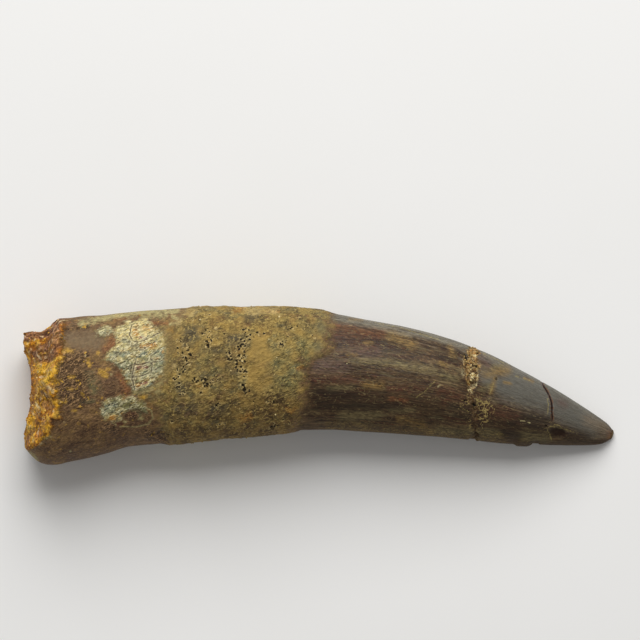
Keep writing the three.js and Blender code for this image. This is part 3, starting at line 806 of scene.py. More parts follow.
def sandy_coat(w, place, flow):
    slanted = w.stretched(w.turned(place, LAYER_SLANT), 0.7, 1.2, 1.0)
    mirrored = w.mirrored(slanted)
    broad = w.clouds(place, 3.0, 3.0)
    blotch = w.clouds(place, 1.8, 3.0, 0.55)
    hue = w.clouds(mirrored, 1.6, 3.0, 0.55)
    grain = w.clouds(slanted, 0.4, 2.0, 0.6)
    plain = w.step(w.frayed("plain_sand", blotch, 4.0), -0.5, 1.2)
    calm = w.maths("MAXIMUM", plain, w.step(w.frayed("coat_tongue", blotch, 3.0), -0.6, 0.8))
    busy = w.maths("SUBTRACT", 1.0, w.times(calm, 0.85))
    colour = w.ground(broad, 0.4, 0.6, "70623C", "897643")
    colour = w.washed(colour, [("5A4A30", blotch, 0.48, 0.4, 0.65), ("A28849", blotch, 0.53, 0.62, 0.6)])
    colour = w.washed(colour, [("69492F", hue, 0.46, 0.38, 0.55), ("6F6A4A", hue, 0.54, 0.62, 0.6)])
    colour = w.stained(colour, COAT_STAINS, w.clouds(place, 0.9, 4.0, 0.65), hue, 0.6)
    colour = w.over(colour, "A08244", plain, 0.85)
    colour = w.over(colour, "C8AC62", w.threads(slanted, 0.7, 0.04), w.times(busy, 0.42))
    colour = w.over(colour, "35270F", w.threads(mirrored, 0.7, 0.04), w.times(busy, 0.6))
    colour = w.shaded(colour, grain, w.value(calm, 0.82, 0.9), w.value(calm, 1.18, 1.08))
    hole = w.cells(w.warped(place, 0.35, 0.5), 0.45)
    chosen = w.step(w.frayed("pitted", blotch, 3.0), -0.1, 0.3)
    sparse = w.times(w.step(blotch, 0.56, 0.62), busy)
    crowd = w.maths("MAXIMUM", chosen, w.times(sparse, 0.25))
    nibbled = w.frayed("pit", w.clouds(place, 0.25, 2.0), 2.0)
    pit = w.maths("MAXIMUM", w.times(w.step(hole, 0.38, 0.28), crowd), w.step(nibbled, 0.85, 0.6))
    rim = w.maths("MAXIMUM", w.times(w.step(hole, 0.58, 0.46), chosen), w.step(nibbled, 1.5, 1.1))
    colour = w.over(colour, "D2B87C", rim, w.times(w.step(grain, 0.42, 0.58), 0.7))
    colour = w.over(colour, "100A06", pit, 0.95)
    roughness = w.value(grain, 0.9, 0.65)
    return colour, roughness, w.add(w.times(grain, 0.3), w.times(pit, -0.3))


# ---------------------------------------------------------------------------------------------------------
# Crown: smooth brown enamel, finely lined from end to end, with purple-brown, rust and olive stains. Toward
# the tip its top has a painted grey sheen; its concave flank is rough, and darker partly by painted shade.
# ---------------------------------------------------------------------------------------------------------

LINE_HEIGHT = 0.022
LINE_SIZE = 0.45
LINE_STRETCH = (12.0, 1.0, 1.0)
FINE_LINE_SIZE = 0.25
FINE_LINE_STRETCH = (9.0, 1.0, 1.0)
CROWN_STAINS = {
    # Grey on top toward the tip: a painted sheen.
    "tip_grey": ("605E56", 0.85, [
        (2.3, 24.8, 0.0, 29.1, -1.5), (1.9, 30.6, -2.7, 34.9, -4.8), (1.2, 21.8, 0.9, 24.0, -0.4),
    ]),
    "tip_brown": ("7A6A56", 0.7, [(0.7, 34.8, -4.6, 37.0, -5.8)]),
    # Darker along the lower, concave flank: partly the enamel's own colour, partly painted shade.
    "crown_dark": ("2F1F11", 0.8, [
        (1.3, -2.0, -1.6, 8.0, -1.7, 16.0, -2.6), (1.2, 20.8, -4.2, 25.5, -5.3, 29.5, -6.3),
        (0.8, 29.5, -6.3, 34.0, -6.7),
    ]),
    "crown_base": ("66502E", 0.7, [(0.8, 2.0, -5.4, 9.0, -6.0, 16.0, -6.4, 23.0, -7.1)]),
    "crown_purple": ("5C463E", 0.65, [
        (0.77, -0.2, 2.5, 3.3, 2.3), (0.5, 4.7, 4.1, 7.5, 4.1), (0.45, 20.8, 3.5, 21.8, 2.6),
        (0.49, 31.1, -2.3, 31.6, -2.5),
    ]),
    "crown_red": ("4A291A", 0.7, [
        (0.9, 1.8, 6.3, 7.2, 5.7), (0.44, -1.3, 0.7, 4.7, 0.7), (0.49, 15.4, -0.8, 18.3, -1.7),
        (0.34, 9.2, -0.4, 13.1, -0.5), (0.63, 21.3, -3.1, 25.4, -4.0), (0.33, 16.0, -2.1, 16.6, -2.1),
    ]),
    "crown_olive": ("736845", 0.6, [
        (0.5, 20.9, -0.6, 21.8, -0.2), (0.38, 4.2, 3.1, 10.3, 2.8), (0.59, 9.7, 2.8, 14.7, 1.8),
        (0.69, 16.0, 1.4, 17.6, 1.2), (0.31, 22.4, 2.2, 23.4, 2.4), (0.27, 9.2, -3.2, 12.1, -3.3),
        (0.27, 1.2, -0.3, 4.5, -0.3), (0.57, 26.3, -6.4, 29.0, -6.9), (0.49, 15.4, -5.9, 22.9, -6.3),
        (0.66, 3.1, -4.1, 7.5, -3.9),
    ]),
    "crown_rust": ("6C4226", 0.75, [
        (0.35, 2.0, 7.6, 4.7, 7.2), (0.42, 4.7, 7.0, 8.2, 6.5), (0.3, 9.2, -1.7, 11.1, -1.9),
    ]),
    "crown_black": ("241A12", 0.75, [
        (0.45, 8.2, 5.1, 10.0, 4.7), (0.25, 5.6, 5.6, 8.7, 5.4), (0.39, 15.3, 3.7, 17.6, 3.2),
        (0.35, 16.9, -2.8, 19.0, -3.0), (0.39, 17.6, -3.9, 19.1, -4.1), (0.5, 19.0, -3.6, 21.0, -3.0),
        (0.25, 24.3, -4.9, 27.0, -4.3), (0.5, -0.2, -0.9, 4.5, -1.2), (0.5, 0.3, -2.6, 10.3, -2.8),
        (0.41, 26.2, -4.1, 29.6, -4.5), (0.54, 23.8, -6.0, 25.6, -6.5), (0.25, 17.8, 4.4, 18.2, 4.0),
        (0.25, 26.7, -5.0, 29.1, -5.7),
    ]),
    "crown_ochre": ("866A38", 0.7, [
        (0.6, 9.3, 6.2, 10.4, 5.7, 11.9, 5.2), (0.35, 16.8, 4.8, 17.3, 3.8), (0.4, 6.0, 0.0, 8.0, 0.0),
        (0.25, 15.6, 2.8, 16.2, 2.5), (0.5, 21.5, 1.3, 24.2, 1.9), (0.3, 22.6, 1.0, 22.1, -0.9),
        (0.2, 5.8, 5.4, 7.0, 5.4), (0.18, 3.6, 3.8, 4.8, 3.9), (0.39, 10.3, -4.4, 13.4, -5.1),
        (0.18, 14.0, -6.3, 14.6, -6.2), (0.18, 23.8, 0.3, 24.6, 0.2), (0.16, 3.8, 8.5, 5.6, 8.3),
        (0.15, 26.4, 0.9, 27.6, 0.4),
    ]),
    "tip_orange": ("7A5230", 0.8, [(0.37, 37.6, -6.3, 37.6, -6.8)]),
}


def crown_depth(p, angle):
    """Distance past the start of the enamel, along the tooth."""
    return p[:, 0] - coat_edges(p, angle)[1]


def crown_relief(p, angle, flow):
    on_crown = ease(crown_depth(p, angle), 0, 1)
    lines = noise(flow, LINE_SIZE, LINE_STRETCH) + 0.6 * noise(flow, FINE_LINE_SIZE, FINE_LINE_STRETCH)
    return on_crown * (LINE_HEIGHT * lines)


def lined_enamel(w, place, flow):
    line = w.clouds(w.stretched(flow, 0.07, 1.0, 1.0), 0.22, 2.0, 0.6)
    band = w.clouds(w.stretched(flow, 0.16, 1.0, 1.0), 0.9, 5.0, 0.65)
    hue = w.clouds(w.stretched(w.turned(flow, 0.03), 0.16, 1.0, 1.0), 0.6, 4.0, 0.65)
    fleck = w.clouds(w.stretched(flow, 0.5, 1.2, 1.2), 0.3, 2.0, 0.6)
    toward = w.field("toward")
    # A painted sheen: grey on top toward the tip, where the lines and speckle fade.
    tip_sheen = w.step(w.add(w.field("tip_grey"), w.times(band, 0.6)), 0.0, 1.0)
    lined = w.value(tip_sheen, 1.0, 0.3)
    colour = w.ground(band, 0.38, 0.62, "3D2B1A", "604B32")
    colour = w.washed(colour, [("572F1E", hue, 0.54, 0.66, 0.45), ("6A6042", hue, 0.46, 0.34, 0.5)])
    colour = w.over(colour, "5E5A51", tip_sheen, 0.8)
    # A painted sheen: a cool grey band along the convex edge, where the pale surround is reflected.
    colour = w.over(colour, "7C7A6C", w.step(w.frayed("toward", band, 1.2), 0.7, 1.0), 0.6)
    colour = w.stained(colour, CROWN_STAINS, band, fleck, 0.8)
    crackled = w.times(lined, w.step(hue, 0.4, 0.6))
    specked = w.step(w.frayed("crown_base", band, 3.0), -0.8, 0.6)
    along = w.stretched(flow, 0.5, 1.0, 1.0)
    far_along = w.stretched(flow, 0.25, 1.0, -1.0)
    hairs = [
        ("9A8A5C", w.threads(along, 0.6, 0.03), crackled, 0.35),
        ("150E08", w.threads(along, 0.45, 0.03), crackled, 0.4),
        ("8E7A42", w.threads(place, 0.5, 0.05), specked, 0.5),
        ("22160B", w.threads(w.mirrored(place), 0.5, 0.06), specked, 0.6),
        ("130D08", w.threads(far_along, 0.8, 0.03), lined, 0.4),
    ]
    for code, threads, share, strength in hairs:
        colour = w.over(colour, code, threads, w.times(share, strength))
    colour = w.shaded(colour, line, w.value(tip_sheen, 0.8, 0.94), w.value(tip_sheen, 1.22, 1.06))
    colour = w.shaded(colour, fleck, w.value(tip_sheen, 0.78, 0.92), w.value(tip_sheen, 1.26, 1.08))
    colour = crown_marks(w, place, colour)
    roughness = w.add(w.value(w.step(toward, -0.6, 0.3), 0.7, 0.38), w.times(fleck, 0.1))
    return colour, roughness, w.add(w.times(line, 0.07), w.times(fleck, 0.08))


# ---------------------------------------------------------------------------------------------------------
# Cracks of the crown: an old break packed with sandy, angular rubble runs round the middle and frays into
# thin mineral veins. A rust-filled crack crosses nearer the tip, beside a chip with a pale lip.
# ---------------------------------------------------------------------------------------------------------

CRACK_WANDER = 0.35
CRACK_WANDER_SIZES = {1.2: 1.0, 0.6: 1.0}
# The rubble band's middle and half width on the upper side, by y.
CRACK_LINE = np.array([
    (-5.2, 20.2, 0.25), (-4.4, 20.1, 0.35), (-3.3, 19.9, 0.4), (-2.0, 19.6, 0.4), (-1.1, 19.5, 0.35),
    (0.3, 19.8, 0.55), (1.7, 19.4, 1.0), (3.0, 19.6, 0.95), (4.4, 19.8, 0.9), (5.4, 20.0, 0.7),
])
CRACK_HALF_WIDTH_BELOW = 0.5
CRACK_DEPTH = 0.15
CRACK_FILL_ROUGHNESS = 0.25
CRACK_FILL_SIZES = {0.8: 1.0, 0.32: 0.7}
HOLE_DEPTH = 0.3
CRACK_STAINS = {
    "crack_dark": ("3E2A19", 0.9, [(1.3, 19.6, -2.7, 20.1, -7.4)]),
    "crack_orange": ("9A6E34", 0.6, [
        (0.45, 19.6, 3.1, 19.9, 3.2), (0.6, 18.9, 4.5, 20.2, 4.0), (0.2, 18.9, 0.7, 19.2, 0.1),
    ]),
    "crack_cream": ("D6C796", 0.85, [
        (0.25, 18.4, 1.9, 18.4, 1.2), (0.22, 20.9, 1.4, 20.5, 1.2), (0.22, 19.9, 0.0, 20.3, 0.2),
        (0.18, 19.3, -0.6, 19.6, -0.8), (0.18, 19.9, 3.9, 20.3, 3.7), (0.2, 19.7, 0.9, 19.8, 1.4),
    ]),
}
DARK_HOLES = [
    (0.2, 20.4, 4.2), (0.18, 19.8, 2.6, 20.2, 2.5), (0.17, 18.8, 3.9, 19.0, 3.4), (0.22, 22.8, 0.8),
    (0.17, 19.3, 2.2), (0.2, 19.8, -2.5, 20.0, -2.6), (0.17, 18.7, -2.0), (0.2, 29.2, -5.3),
]
PALE_BITS = [
    (0.18, 15.2, -0.2, 15.7, 0.0), (0.14, 20.1, -4.5), (0.14, 21.0, -5.1), (0.1, 25.9, -4.6, 26.4, -4.6),
    (0.1, 26.7, -4.8, 27.2, -4.9), (0.14, 2.5, 4.0), (0.14, 3.6, 2.8), (0.12, 29.5, -1.8),
]
TANGLE = [(1.3, 19.4, -2.3, 21.3, -2.9, 20.3, -4.8)]
VEINS = [
    [(12.6, -1.5), (13.6, -0.8), (14.2, -0.2), (14.8, 0.4)], [(25.2, 1.1), (26.5, 0.7), (27.1, 0.5)],
    [(29.3, -1.6), (29.5, -2.5), (29.4, -3.6)],
    [(29.0, -5.6), (29.7, -5.4), (30.4, -5.1), (30.9, -5.3), (31.3, -5.6)],
    [(29.7, -5.4), (31.6, -5.7), (32.8, -6.1)], [(29.4, -5.9), (29.9, -7.1)],
    [(19.4, -2.0), (19.8, -1.7), (20.6, -1.8), (21.0, -2.2), (21.8, -2.4)],
    [(19.6, -3.2), (20.2, -2.7), (20.5, -2.0)], [(21.1, -3.3), (21.6, -3.5), (21.6, -4.1), (21.1, -4.3)],
    [(22.4, 0.2), (21.9, -1.1)], [(7.3, 8.0), (10.4, 7.3), (15.4, 5.8)], [(21.1, 4.0), (24.3, 2.5)],
]
TIP_CRACK_LINE = [(28.8, 0.3), (29.1, -0.4), (29.7, -1.4), (29.9, -2.2), (30.0, -3.0), (30.0, -4.3)]
TIP_CRACK = {"convex_x": 28.6, "slant": 0.3, "closes": (4.2, 4.9), "depth": 0.2, "edge": (0.03, 0.17)}
TIP_CRACK_WANDER = 0.06
TIP_CRACK_WANDER_SIZE = 0.7
# Dents, and a lump as a dent of negative depth: middle x, y, half length, half height and depth.
DENTS = [
    (30.6, -6.3, 1.2, 0.9, 0.5), (27.9, -7.7, 0.5, 0.6, 0.3), (26.3, -7.7, 1.2, 0.9, -0.3),
    (-20.0, -6.4, 1.1, 0.8, 0.3), (19.8, -7.0, 0.6, 0.5, 0.25),
]
DENT_EDGE = (0.5, 1.1)
CHIP = [(0.6, 30.2, -6.2, 31.4, -6.3)]


def crack_depth(p, angle):
    """Distance inside the filled crack, positive inside."""
    upper = upper_side(angle)
    middle = np.interp(p[:, 1], CRACK_LINE[:, 0], CRACK_LINE[:, 1])
    half_width_above = np.interp(p[:, 1], CRACK_LINE[:, 0], CRACK_LINE[:, 2])
    half_width = lerp(CRACK_HALF_WIDTH_BELOW, half_width_above, upper)
    wander = CRACK_WANDER * noises(p, CRACK_WANDER_SIZES)
    return half_width - np.abs(p[:, 0] - middle - wander)


def crack_relief(p, angle):
    inside = ease(crack_depth(p, angle), -0.1, 0.3)
    fill = CRACK_FILL_ROUGHNESS * noises(p, CRACK_FILL_SIZES)
    holes = HOLE_DEPTH * ease(marks(p, DARK_HOLES), 0, 0.6) * upper_side(angle)
    return inside * (fill - CRACK_DEPTH) - holes


def tip_crack_offset(p, angle):
    """Distance from the crack near the tip, below 0 on the root side of it."""
    line = np.array(TIP_CRACK_LINE)[::-1]
    middle = np.interp(p[:, 1], line[:, 1], line[:, 0])
    round_tooth = TIP_CRACK["convex_x"] - TIP_CRACK["slant"] * p[:, 1]
    wander = TIP_CRACK_WANDER * noise(p, TIP_CRACK_WANDER_SIZE)
    return p[:, 0] - lerp(round_tooth, middle, upper_side(angle)) + wander


def tip_crack_share(p, angle):
    """1 where the crack near the tip is open, and 0 where it has closed on the upper side."""
    return 1 - upper_side(angle) * ease(-p[:, 1], *TIP_CRACK["closes"])


def tip_crack_relief(p, angle):
    offset = np.abs(tip_crack_offset(p, angle))
    return -TIP_CRACK["depth"] * (1 - ease(offset, *TIP_CRACK["edge"])) * tip_crack_share(p, angle)


def dent_relief(p, angle):
    total = np.zeros(len(p))
    for x, y, half_length, half_height, depth in DENTS:
        away = np.hypot((p[:, 0] - x) / half_length, (p[:, 1] - y) / half_height)
        total += depth * (1 - ease(away, *DENT_EDGE))
    return -total * ease(np.sin(angle), -0.3, 0)


def side_of_lines(p, lines):
    """Distance from the nearest of some lines, below 0 on its left, so that it passes 0 on the line."""
    nearest = np.full(len(p), FAR)
    for line in lines:
        for start, end in zip(line[:-1], line[1:]):
            gap = distance_to_line(p, [start, end])
            left = (end[0] - start[0]) * (p[:, 1] - start[1]) > (end[1] - start[1]) * (p[:, 0] - start[0])
            nearest = np.where(gap < np.abs(nearest), np.where(left, -gap, gap), nearest)
    return nearest


def crown_marks(w, place, colour):
    """The veins, pale bits, holes, chip and thin crack of the crown, over a colour."""
    fray = w.clouds(place, 0.35, 4.0, 0.7)
    broken = w.step(fray, 0.4, 0.56)
    tangle = w.step(w.frayed("tangle", fray, 3.0), -0.1, 0.5)
    colour = w.over(colour, "2E1A10", w.times(tangle, w.step(fray, 0.58, 0.46)), 0.75)
    colour = w.over(colour, "A08A54", w.times(tangle, w.threads(place, 0.8, 0.04)), 0.85)
    vein = w.maths("ABSOLUTE", w.frayed("vein_side", fray, 0.7))
    vein = w.times(w.step(vein, 0.1, 0.02), w.step(w.field("vein"), 0.3, 0.2))
    colour = w.over(colour, "94854F", w.times(vein, broken), 0.7)
    spots = [
        ("CFC08A", w.frayed("pale_bits", fray, 3.0), 0.0, 0.9, 0.7),
        ("2E1C12", w.frayed("chip", fray, 3.0), -0.1, 0.5, 0.8),
        ("120C08", w.frayed("holes", fray, 3.0), 0.0, 0.5, 0.95),
    ]
    colour = w.washed(colour, spots)
    crack = w.maths("ABSOLUTE", w.frayed("tip_crack", fray, 0.12))
    shown = w.field("tip_crack_share")
    colour = w.over(colour, "6A4424", w.times(w.step(crack, 0.28, 0.12), broken), shown)
    return w.over(colour, "1E0D06", w.step(crack, 0.15, 0.08), shown)


def crack_rubble(w, place, flow):
    warped = w.warped(place, 0.4, 0.5)
    lump = w.cells(warped, 0.7)
    slit = w.cells(warped, 0.7, "DISTANCE_TO_EDGE")
    speck = w.clouds(place, 0.3, 2.0, 0.6)
    tint = w.clouds(w.mirrored(place), 0.7, 4.0, 0.65)
    colour = w.ground(tint, 0.42, 0.58, "664A2C", "94723F")
    colour = w.over(colour, "C6AA78", w.step(w.add(tint, w.times(lump, -0.2)), 0.46, 0.56), 0.45)
    colour = w.over(colour, "28180C", w.step(w.add(slit, w.times(speck, 0.3)), 0.26, 0.16), 0.8)
    colour = w.over(colour, "E2CC98", w.threads(place, 0.7, 0.04, 3.0), 0.5)
    colour = w.over(colour, "24160C", w.threads(w.mirrored(place), 0.6, 0.04, 3.0), 0.65)
    colour = w.stained(colour, CRACK_STAINS, speck, tint)
    colour = w.shaded(colour, speck, 0.75, 1.25)
    # Painted shade: darker in the rubble's hollows.
    colour = w.over(colour, "28190D", w.step(w.field("raised"), -0.2, -0.9), 0.5)
    colour = w.over(colour, "120C08", w.step(w.field("holes"), 0.0, 0.5), 0.95)
    roughness = w.value(speck, 0.9, 0.65)
    return colour, roughness, w.add(w.times(w.step(lump, 0.6, 0.1), 0.14), w.times(speck, 0.14))


# ---------------------------------------------------------------------------------------------------------
# The whole tooth: one closed skin that takes its relief from every finish above, with rings closest where
# the surface is busiest. One material holds the finishes, each shown as far as its own edge.
# ---------------------------------------------------------------------------------------------------------

MM = 0.001  # one millimetre in metres
BOTTOM = -np.pi / 2  # the angle that faces down
# Each stretch of rings: the x where it ends and the step between rings.
RING_SPANS = [
    (-33.0, 0.14), (-26.0, 0.2), (-9.0, 0.15), (1.5, 0.2), (17.5, 0.28), (23.5, 0.13), (28.5, 0.25),
    (33.0, 0.15), (37.7, 0.25),
]
AROUND = 220
CAP_RINGS = 22
TIP_RINGS = 5
TIP_REACH = 0.15
CROWDED_ABOVE = 0.3  # how far points are moved round from the underside to the upper side
TOOTH_SHINE = 0.22
GRAINS_ON_COAT = 0.02
GRAINS_IN_CRACK = 0.4
GRAINS_ON_BREAK = 0.12
GRAINS_CLEAR_OF_FLOOR = (0.6, 1.6)
RUBBLE_ENDS = (1.4, 2.4)
# The strokes that the finishes read, by the name that each has on the mesh.
STROKES = {
    "layers": PURPLE_LAYERS,
    "pitted": PITTED,
    "tangle": TANGLE,
    "pale_bits": PALE_BITS,
    "chip": CHIP,
    "holes": DARK_HOLES,
}
for stains in (ROOT_STAINS, SAND_STAINS, PATCH_STAINS, COAT_STAINS, CROWN_STAINS, CRACK_STAINS):
    STROKES.update({name: strokes for name, (_, _, strokes) in stains.items()})


def grain_share(p, bare, crack, angle):
    """How thickly loose grains stand on the surface, from 0 to 1."""
    crusted = GRAINS_ON_COAT * coat_cover(p, angle) * (1 - ease(plain_sand(p, angle), -0.5, 0.5))
    below_rubble = upper_side(angle) * ease(-p[:, 1], *RUBBLE_ENDS)
    packed = GRAINS_IN_CRACK * ease(crack, 0, 0.3) * (1 - below_rubble)
    broken = GRAINS_ON_BREAK * ease(bare, 0.4, 0.9) * (1 - 0.8 * ease(marks(p, PURPLE_LAYERS), -0.5, 0.5))
    return np.maximum.reduce([broken, crusted, packed])


def relief_and_fields(p, angle, flow):
    """How far the surface stands out from the plain form, and the numbers that the material reads."""
    bare = bareness(p, angle)
    crack = crack_depth(p, angle)
    hidden = 3 * (1 - upper_side(angle))
    pit = pit_shares(p)[0]
    rough = sandstone_roughness(p)
    on_wall = root_relief(p, angle) + patch_relief(p, angle)
    relief = (1 - bare) * on_wall + bare * (rough - WALL_THICKNESS)
    relief += coat_relief(p, angle) + pit_relief(p) + crown_relief(p, angle, flow)
    relief += crack_relief(p, angle) + tip_crack_relief(p, angle) + dent_relief(p, angle)
    vein_side = side_of_lines(p, VEINS)
    patch_crack_side = side_of_lines(p, PATCH_CRACKS)
    fields = {
        "bare": wall_end(p, angle) - p[:, 0],
        "patch": both_sides(p, angle, patch_depth),
        "coat": coat_depth(p, angle),
        "crown": crown_depth(p, angle),
        "crack": crack,
        "tip_crack": tip_crack_offset(p, angle),
        "tip_crack_share": tip_crack_share(p, angle),
        "vein_side": vein_side,
        "vein": np.abs(vein_side) + hidden,
        "patch_crack_side": patch_crack_side,
        "patch_crack": np.abs(patch_crack_side) + hidden,
        "pit": pit,
        "plain_sand": plain_sand(p, angle),
        "toward": np.cos(angle),
        "raised": np.where(crack > 0, noises(p, CRACK_FILL_SIZES), rough / SANDSTONE_ROUGHNESS),
        "grains": grain_share(p, bare, crack, angle),
    }
    for name, strokes in STROKES.items():
        fields[name] = both_sides(p, angle, lambda points: marks(points, strokes))
    return relief, fields


def side_rings():
    """Points and fields of every ring from the broken end to the tip."""
    x = [CENTRE_LINE[0, 0]]
    for end, step in RING_SPANS:
        count = round((end - x[-1]) / step)
        x.extend(np.linspace(x[-1], end, count + 1)[1:])
    stations = np.append(stations_at(np.array(x)), len(EDGES) - 1.0)
    even = BOTTOM + np.linspace(0, 2 * np.pi, AROUND, endpoint=False)
    angles = even + CROWDED_ABOVE * np.cos(even)
    station = np.repeat(stations, AROUND)
    angle = np.tile(angles, len(stations))
    plain, normal = plain_surface(station, angle)
    flow = flow_at(station, angle)
    relief, fields = relief_and_fields(plain, angle, flow)
    under = np.column_stack([sections_at(station)[0], np.zeros(len(station))])
    points = plain + normal * relief[:, None]
    behind_wall = np.maximum(0, fields["bare"]) * np.maximum(0, np.sin(angle))
    lift = COAT_HEIGHT * coat_cover(under, np.full(len(station), BOTTOM)) - REST_CUT
    points[:, 2] += lift - BREAK_SLOPE * behind_wall
    points[:, 0] += end_hollow(points)
    points[:, 2] = np.maximum(0, points[:, 2])
    return points, flow, fields


def cap_rings(rim):
    """The broken end: rings of rough, dished sandstone from the middle out, and the middle itself."""
    middle = rim.mean(axis=0)
    shares = np.arange(1, CAP_RINGS) / CAP_RINGS
    rings = lerp(middle, rim, shares[:, None, None])
    rings[..., 0] += END_DISH * (1 - shares**2)[:, None]
    rings[..., 0] += sandstone_roughness(rings.reshape(-1, 3)).reshape(rings.shape[:2])
    return middle + (END_DISH, 0, 0), rings.reshape(-1, 3)


def tip_rings(rim):
    """A blunt, rounded tip over the last ring, and its very end."""
    end = np.array([TIP_X + TIP_REACH, rim[:, 1].mean(), rim[:, 2].mean()])
    middle = rim.mean(axis=0)
    turns = np.radians(90 * np.arange(1, TIP_RINGS) / TIP_RINGS)
    rings = [middle + (rim - middle) * np.cos(turn) + (end - middle) * np.sin(turn) for turn in turns]
    return np.concatenate(rings), end


def skin_faces(ring_count):
    """Faces between rings, whose corners follow on from the first end's middle, and a fan at each end."""
    step = np.arange(AROUND)
    after = (step + 1) % AROUND
    first = 1 + np.arange(ring_count - 1)[:, None] * AROUND
    quads = np.stack([first + step, first + after, first + AROUND + after, first + AROUND + step], axis=-1)
    last = 1 + (ring_count - 1) * AROUND
    start_fan = [(0, 1 + b, 1 + a) for a, b in zip(step.tolist(), after.tolist())]
    end_fan = [(last + a, last + b, last + AROUND) for a, b in zip(step.tolist(), after.tolist())]
    return [*start_fan, *quads.reshape(-1, 4).tolist(), *end_fan]


def keep_on_mesh(mesh, name, values):
    """Keeps a number or a vector at each point of the mesh for its material."""
    if values.ndim == 2:
        mesh.attributes.new(name, "FLOAT_VECTOR", "POINT").data.foreach_set("vector", values.ravel())
    else:
        mesh.attributes.new(name, "FLOAT", "POINT").data.foreach_set("value", values)


def tooth_mesh():
    sides, flow, fields = side_rings()
    start, cap = cap_rings(sides[:AROUND])
    tip, end = tip_rings(sides[-AROUND:])
    points = np.concatenate([[start], cap, sides, tip, [end]])
    points[:, 2] = np.maximum(0, points[:, 2])
    mesh = bpy.data.meshes.new("fossil_tooth_skin")
    mesh.from_pydata((points * MM).tolist(), [], skin_faces((len(points) - 2) // AROUND))
    mesh.shade_smooth()
    before, after = 1 + len(cap), 1 + len(tip)

    def with_ends(values, first, last):
        """Values of the sides, with one value all over the broken end and one all over the tip's end."""
        start_values = np.repeat([first], before, axis=0)
        end_values = np.repeat([last], after, axis=0)
        return np.concatenate([start_values, values, end_values])

    keep_on_mesh(mesh, "flow", with_ends(flow, flow[0], flow[-1]))
    at_break = {"bare": WALL_THICKNESS + BREAK_RAMP_CONVEX, "grains": GRAINS_ON_BREAK}
    for name, values in fields.items():
        whole = with_ends(values, at_break.get(name, values[0]), values[-1])
        if name == "grains":
            whole *= ease(points[:, 2], *GRAINS_CLEAR_OF_FLOOR)
        keep_on_mesh(mesh, name, whole)
    return mesh


def finish(name, make):
    """A finish as a node group: Place and Flow in mm go in, Colour, Roughness and Height come out."""
    tree = bpy.data.node_groups.new(name, "ShaderNodeTree")
    for socket in ("Place", "Flow"):
        tree.interface.new_socket(socket, in_out="INPUT", socket_type="NodeSocketVector")
    tree.interface.new_socket("Colour", in_out="OUTPUT", socket_type="NodeSocketColor")
    for socket in ("Roughness", "Height"):
        tree.interface.new_socket(socket, in_out="OUTPUT", socket_type="NodeSocketFloat")
    entry = tree.nodes.new("NodeGroupInput")
    wiring = Wiring(tree)
    results = make(wiring, entry.outputs["Place"], entry.outputs["Flow"])
    end = tree.nodes.new("NodeGroupOutput")
    for socket, value in zip(end.inputs, results):
        wiring.plug(value, socket)
    return tree


def new_material(name):
    """A material with its wiring, its shader, and a socket with places in millimetres."""
    material = bpy.data.materials.new(name)
    material.use_nodes = True
    w = Wiring(material.node_tree)
    metres = w.node("ShaderNodeTexCoord", {}).outputs["Object"]
    place = w.stretched(metres, 1 / MM, 1 / MM, 1 / MM)
    return material, w, material.node_tree.nodes["Principled BSDF"], place


def tooth_material():
    material, w, shader, place = new_material("fossil tooth")
    flow = w.node("ShaderNodeAttribute", {}, attribute_name="flow").outputs["Vector"]
    edge_noise = w.clouds(place, 0.9, 5.0, 0.75)

    def laid(name, make):
        group = w.node("ShaderNodeGroup", {}, node_tree=finish(name, make))
        w.plug(place, group.inputs["Place"])
        w.plug(flow, group.inputs["Flow"])
        return group.outputs

    def shown(name, low, high, reach):
        return w.step(w.frayed(name, edge_noise, reach), low, high)

    layers = [
        (laid("Lined enamel", lined_enamel), shown("crown", -0.8, 1.0, 3.84)),
        (laid("Sandy coat", sandy_coat), shown("coat", -0.8, 1.2, 4.8)),
        (laid("Pale flake", pale_flake), shown("patch", -0.3, 0.35, 2.08)),
        (laid("Crack rubble", crack_rubble), shown("crack", -0.15, 0.2, 1.92)),
        (laid("Ochre sandstone", ochre_sandstone), shown("bare", -1.3, -0.1, 4.48)),
    ]
    colour, roughness, height = laid("Root bone", root_bone)
    for (next_colour, next_roughness, next_height), share in layers:
        colour = w.colour(share, colour, next_colour)
        roughness = w.value(share, roughness, next_roughness)
        height = w.value(share, height, next_height)
    bump = w.node("ShaderNodeBump", {"Height": height, "Distance": MM}).outputs["Normal"]
    w.plug(colour, shader.inputs["Base Color"])
    w.plug(roughness, shader.inputs["Roughness"])
    w.plug(bump, shader.inputs["Normal"])
    shader.inputs["Specular IOR Level"].default_value = TOOTH_SHINE
    return material


tooth = bpy.data.objects.new("fossil_tooth_surface", tooth_mesh())
tooth.data.materials.append(tooth_material())
bpy.context.scene.collection.objects.link(tooth)
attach(tooth, "root")
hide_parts("fossil_tooth")


# ---------------------------------------------------------------------------------------------------------
# Sand grains: loose quartz grains, amber and cream, cemented on the broken end, in the crack's rubble and
# thinly over the sandy coat. Each is a small lump sunk halfway into the surface that it stands on.
# ---------------------------------------------------------------------------------------------------------

GRAIN_RADIUS = 0.13 * MM
GRAIN_STRETCH = (0.6, 1.3)
GRAINS_PER_SQUARE_MM = 12.0
GRAIN_SEED = 5
GRAIN_FIELDS = ("bare", "tint", "material_index")


def grain_material():
    material, w, shader, place = new_material("sand grains")
    speck = w.clouds(place, 0.2, 2.0)
    tint = w.field("tint")
    amber = w.ground(tint, 0.1, 0.7, "845218", "DCA62C")
    amber = w.over(amber, "ECCB78", w.step(tint, 0.85, 0.95), 0.8)
    khaki = w.ground(tint, 0.0, 0.7, "5C4A2C", "A88C4E")
    khaki = w.over(khaki, "DCC890", w.step(tint, 0.8, 0.95))
    colour = w.colour(w.step(w.field("bare"), -0.2, 0.4), khaki, amber)
    w.plug(w.shaded(colour, speck, 0.7, 1.2), shader.inputs["Base Color"])
    w.plug(w.value(speck, 0.8, 0.45), shader.inputs["Roughness"])
    return material


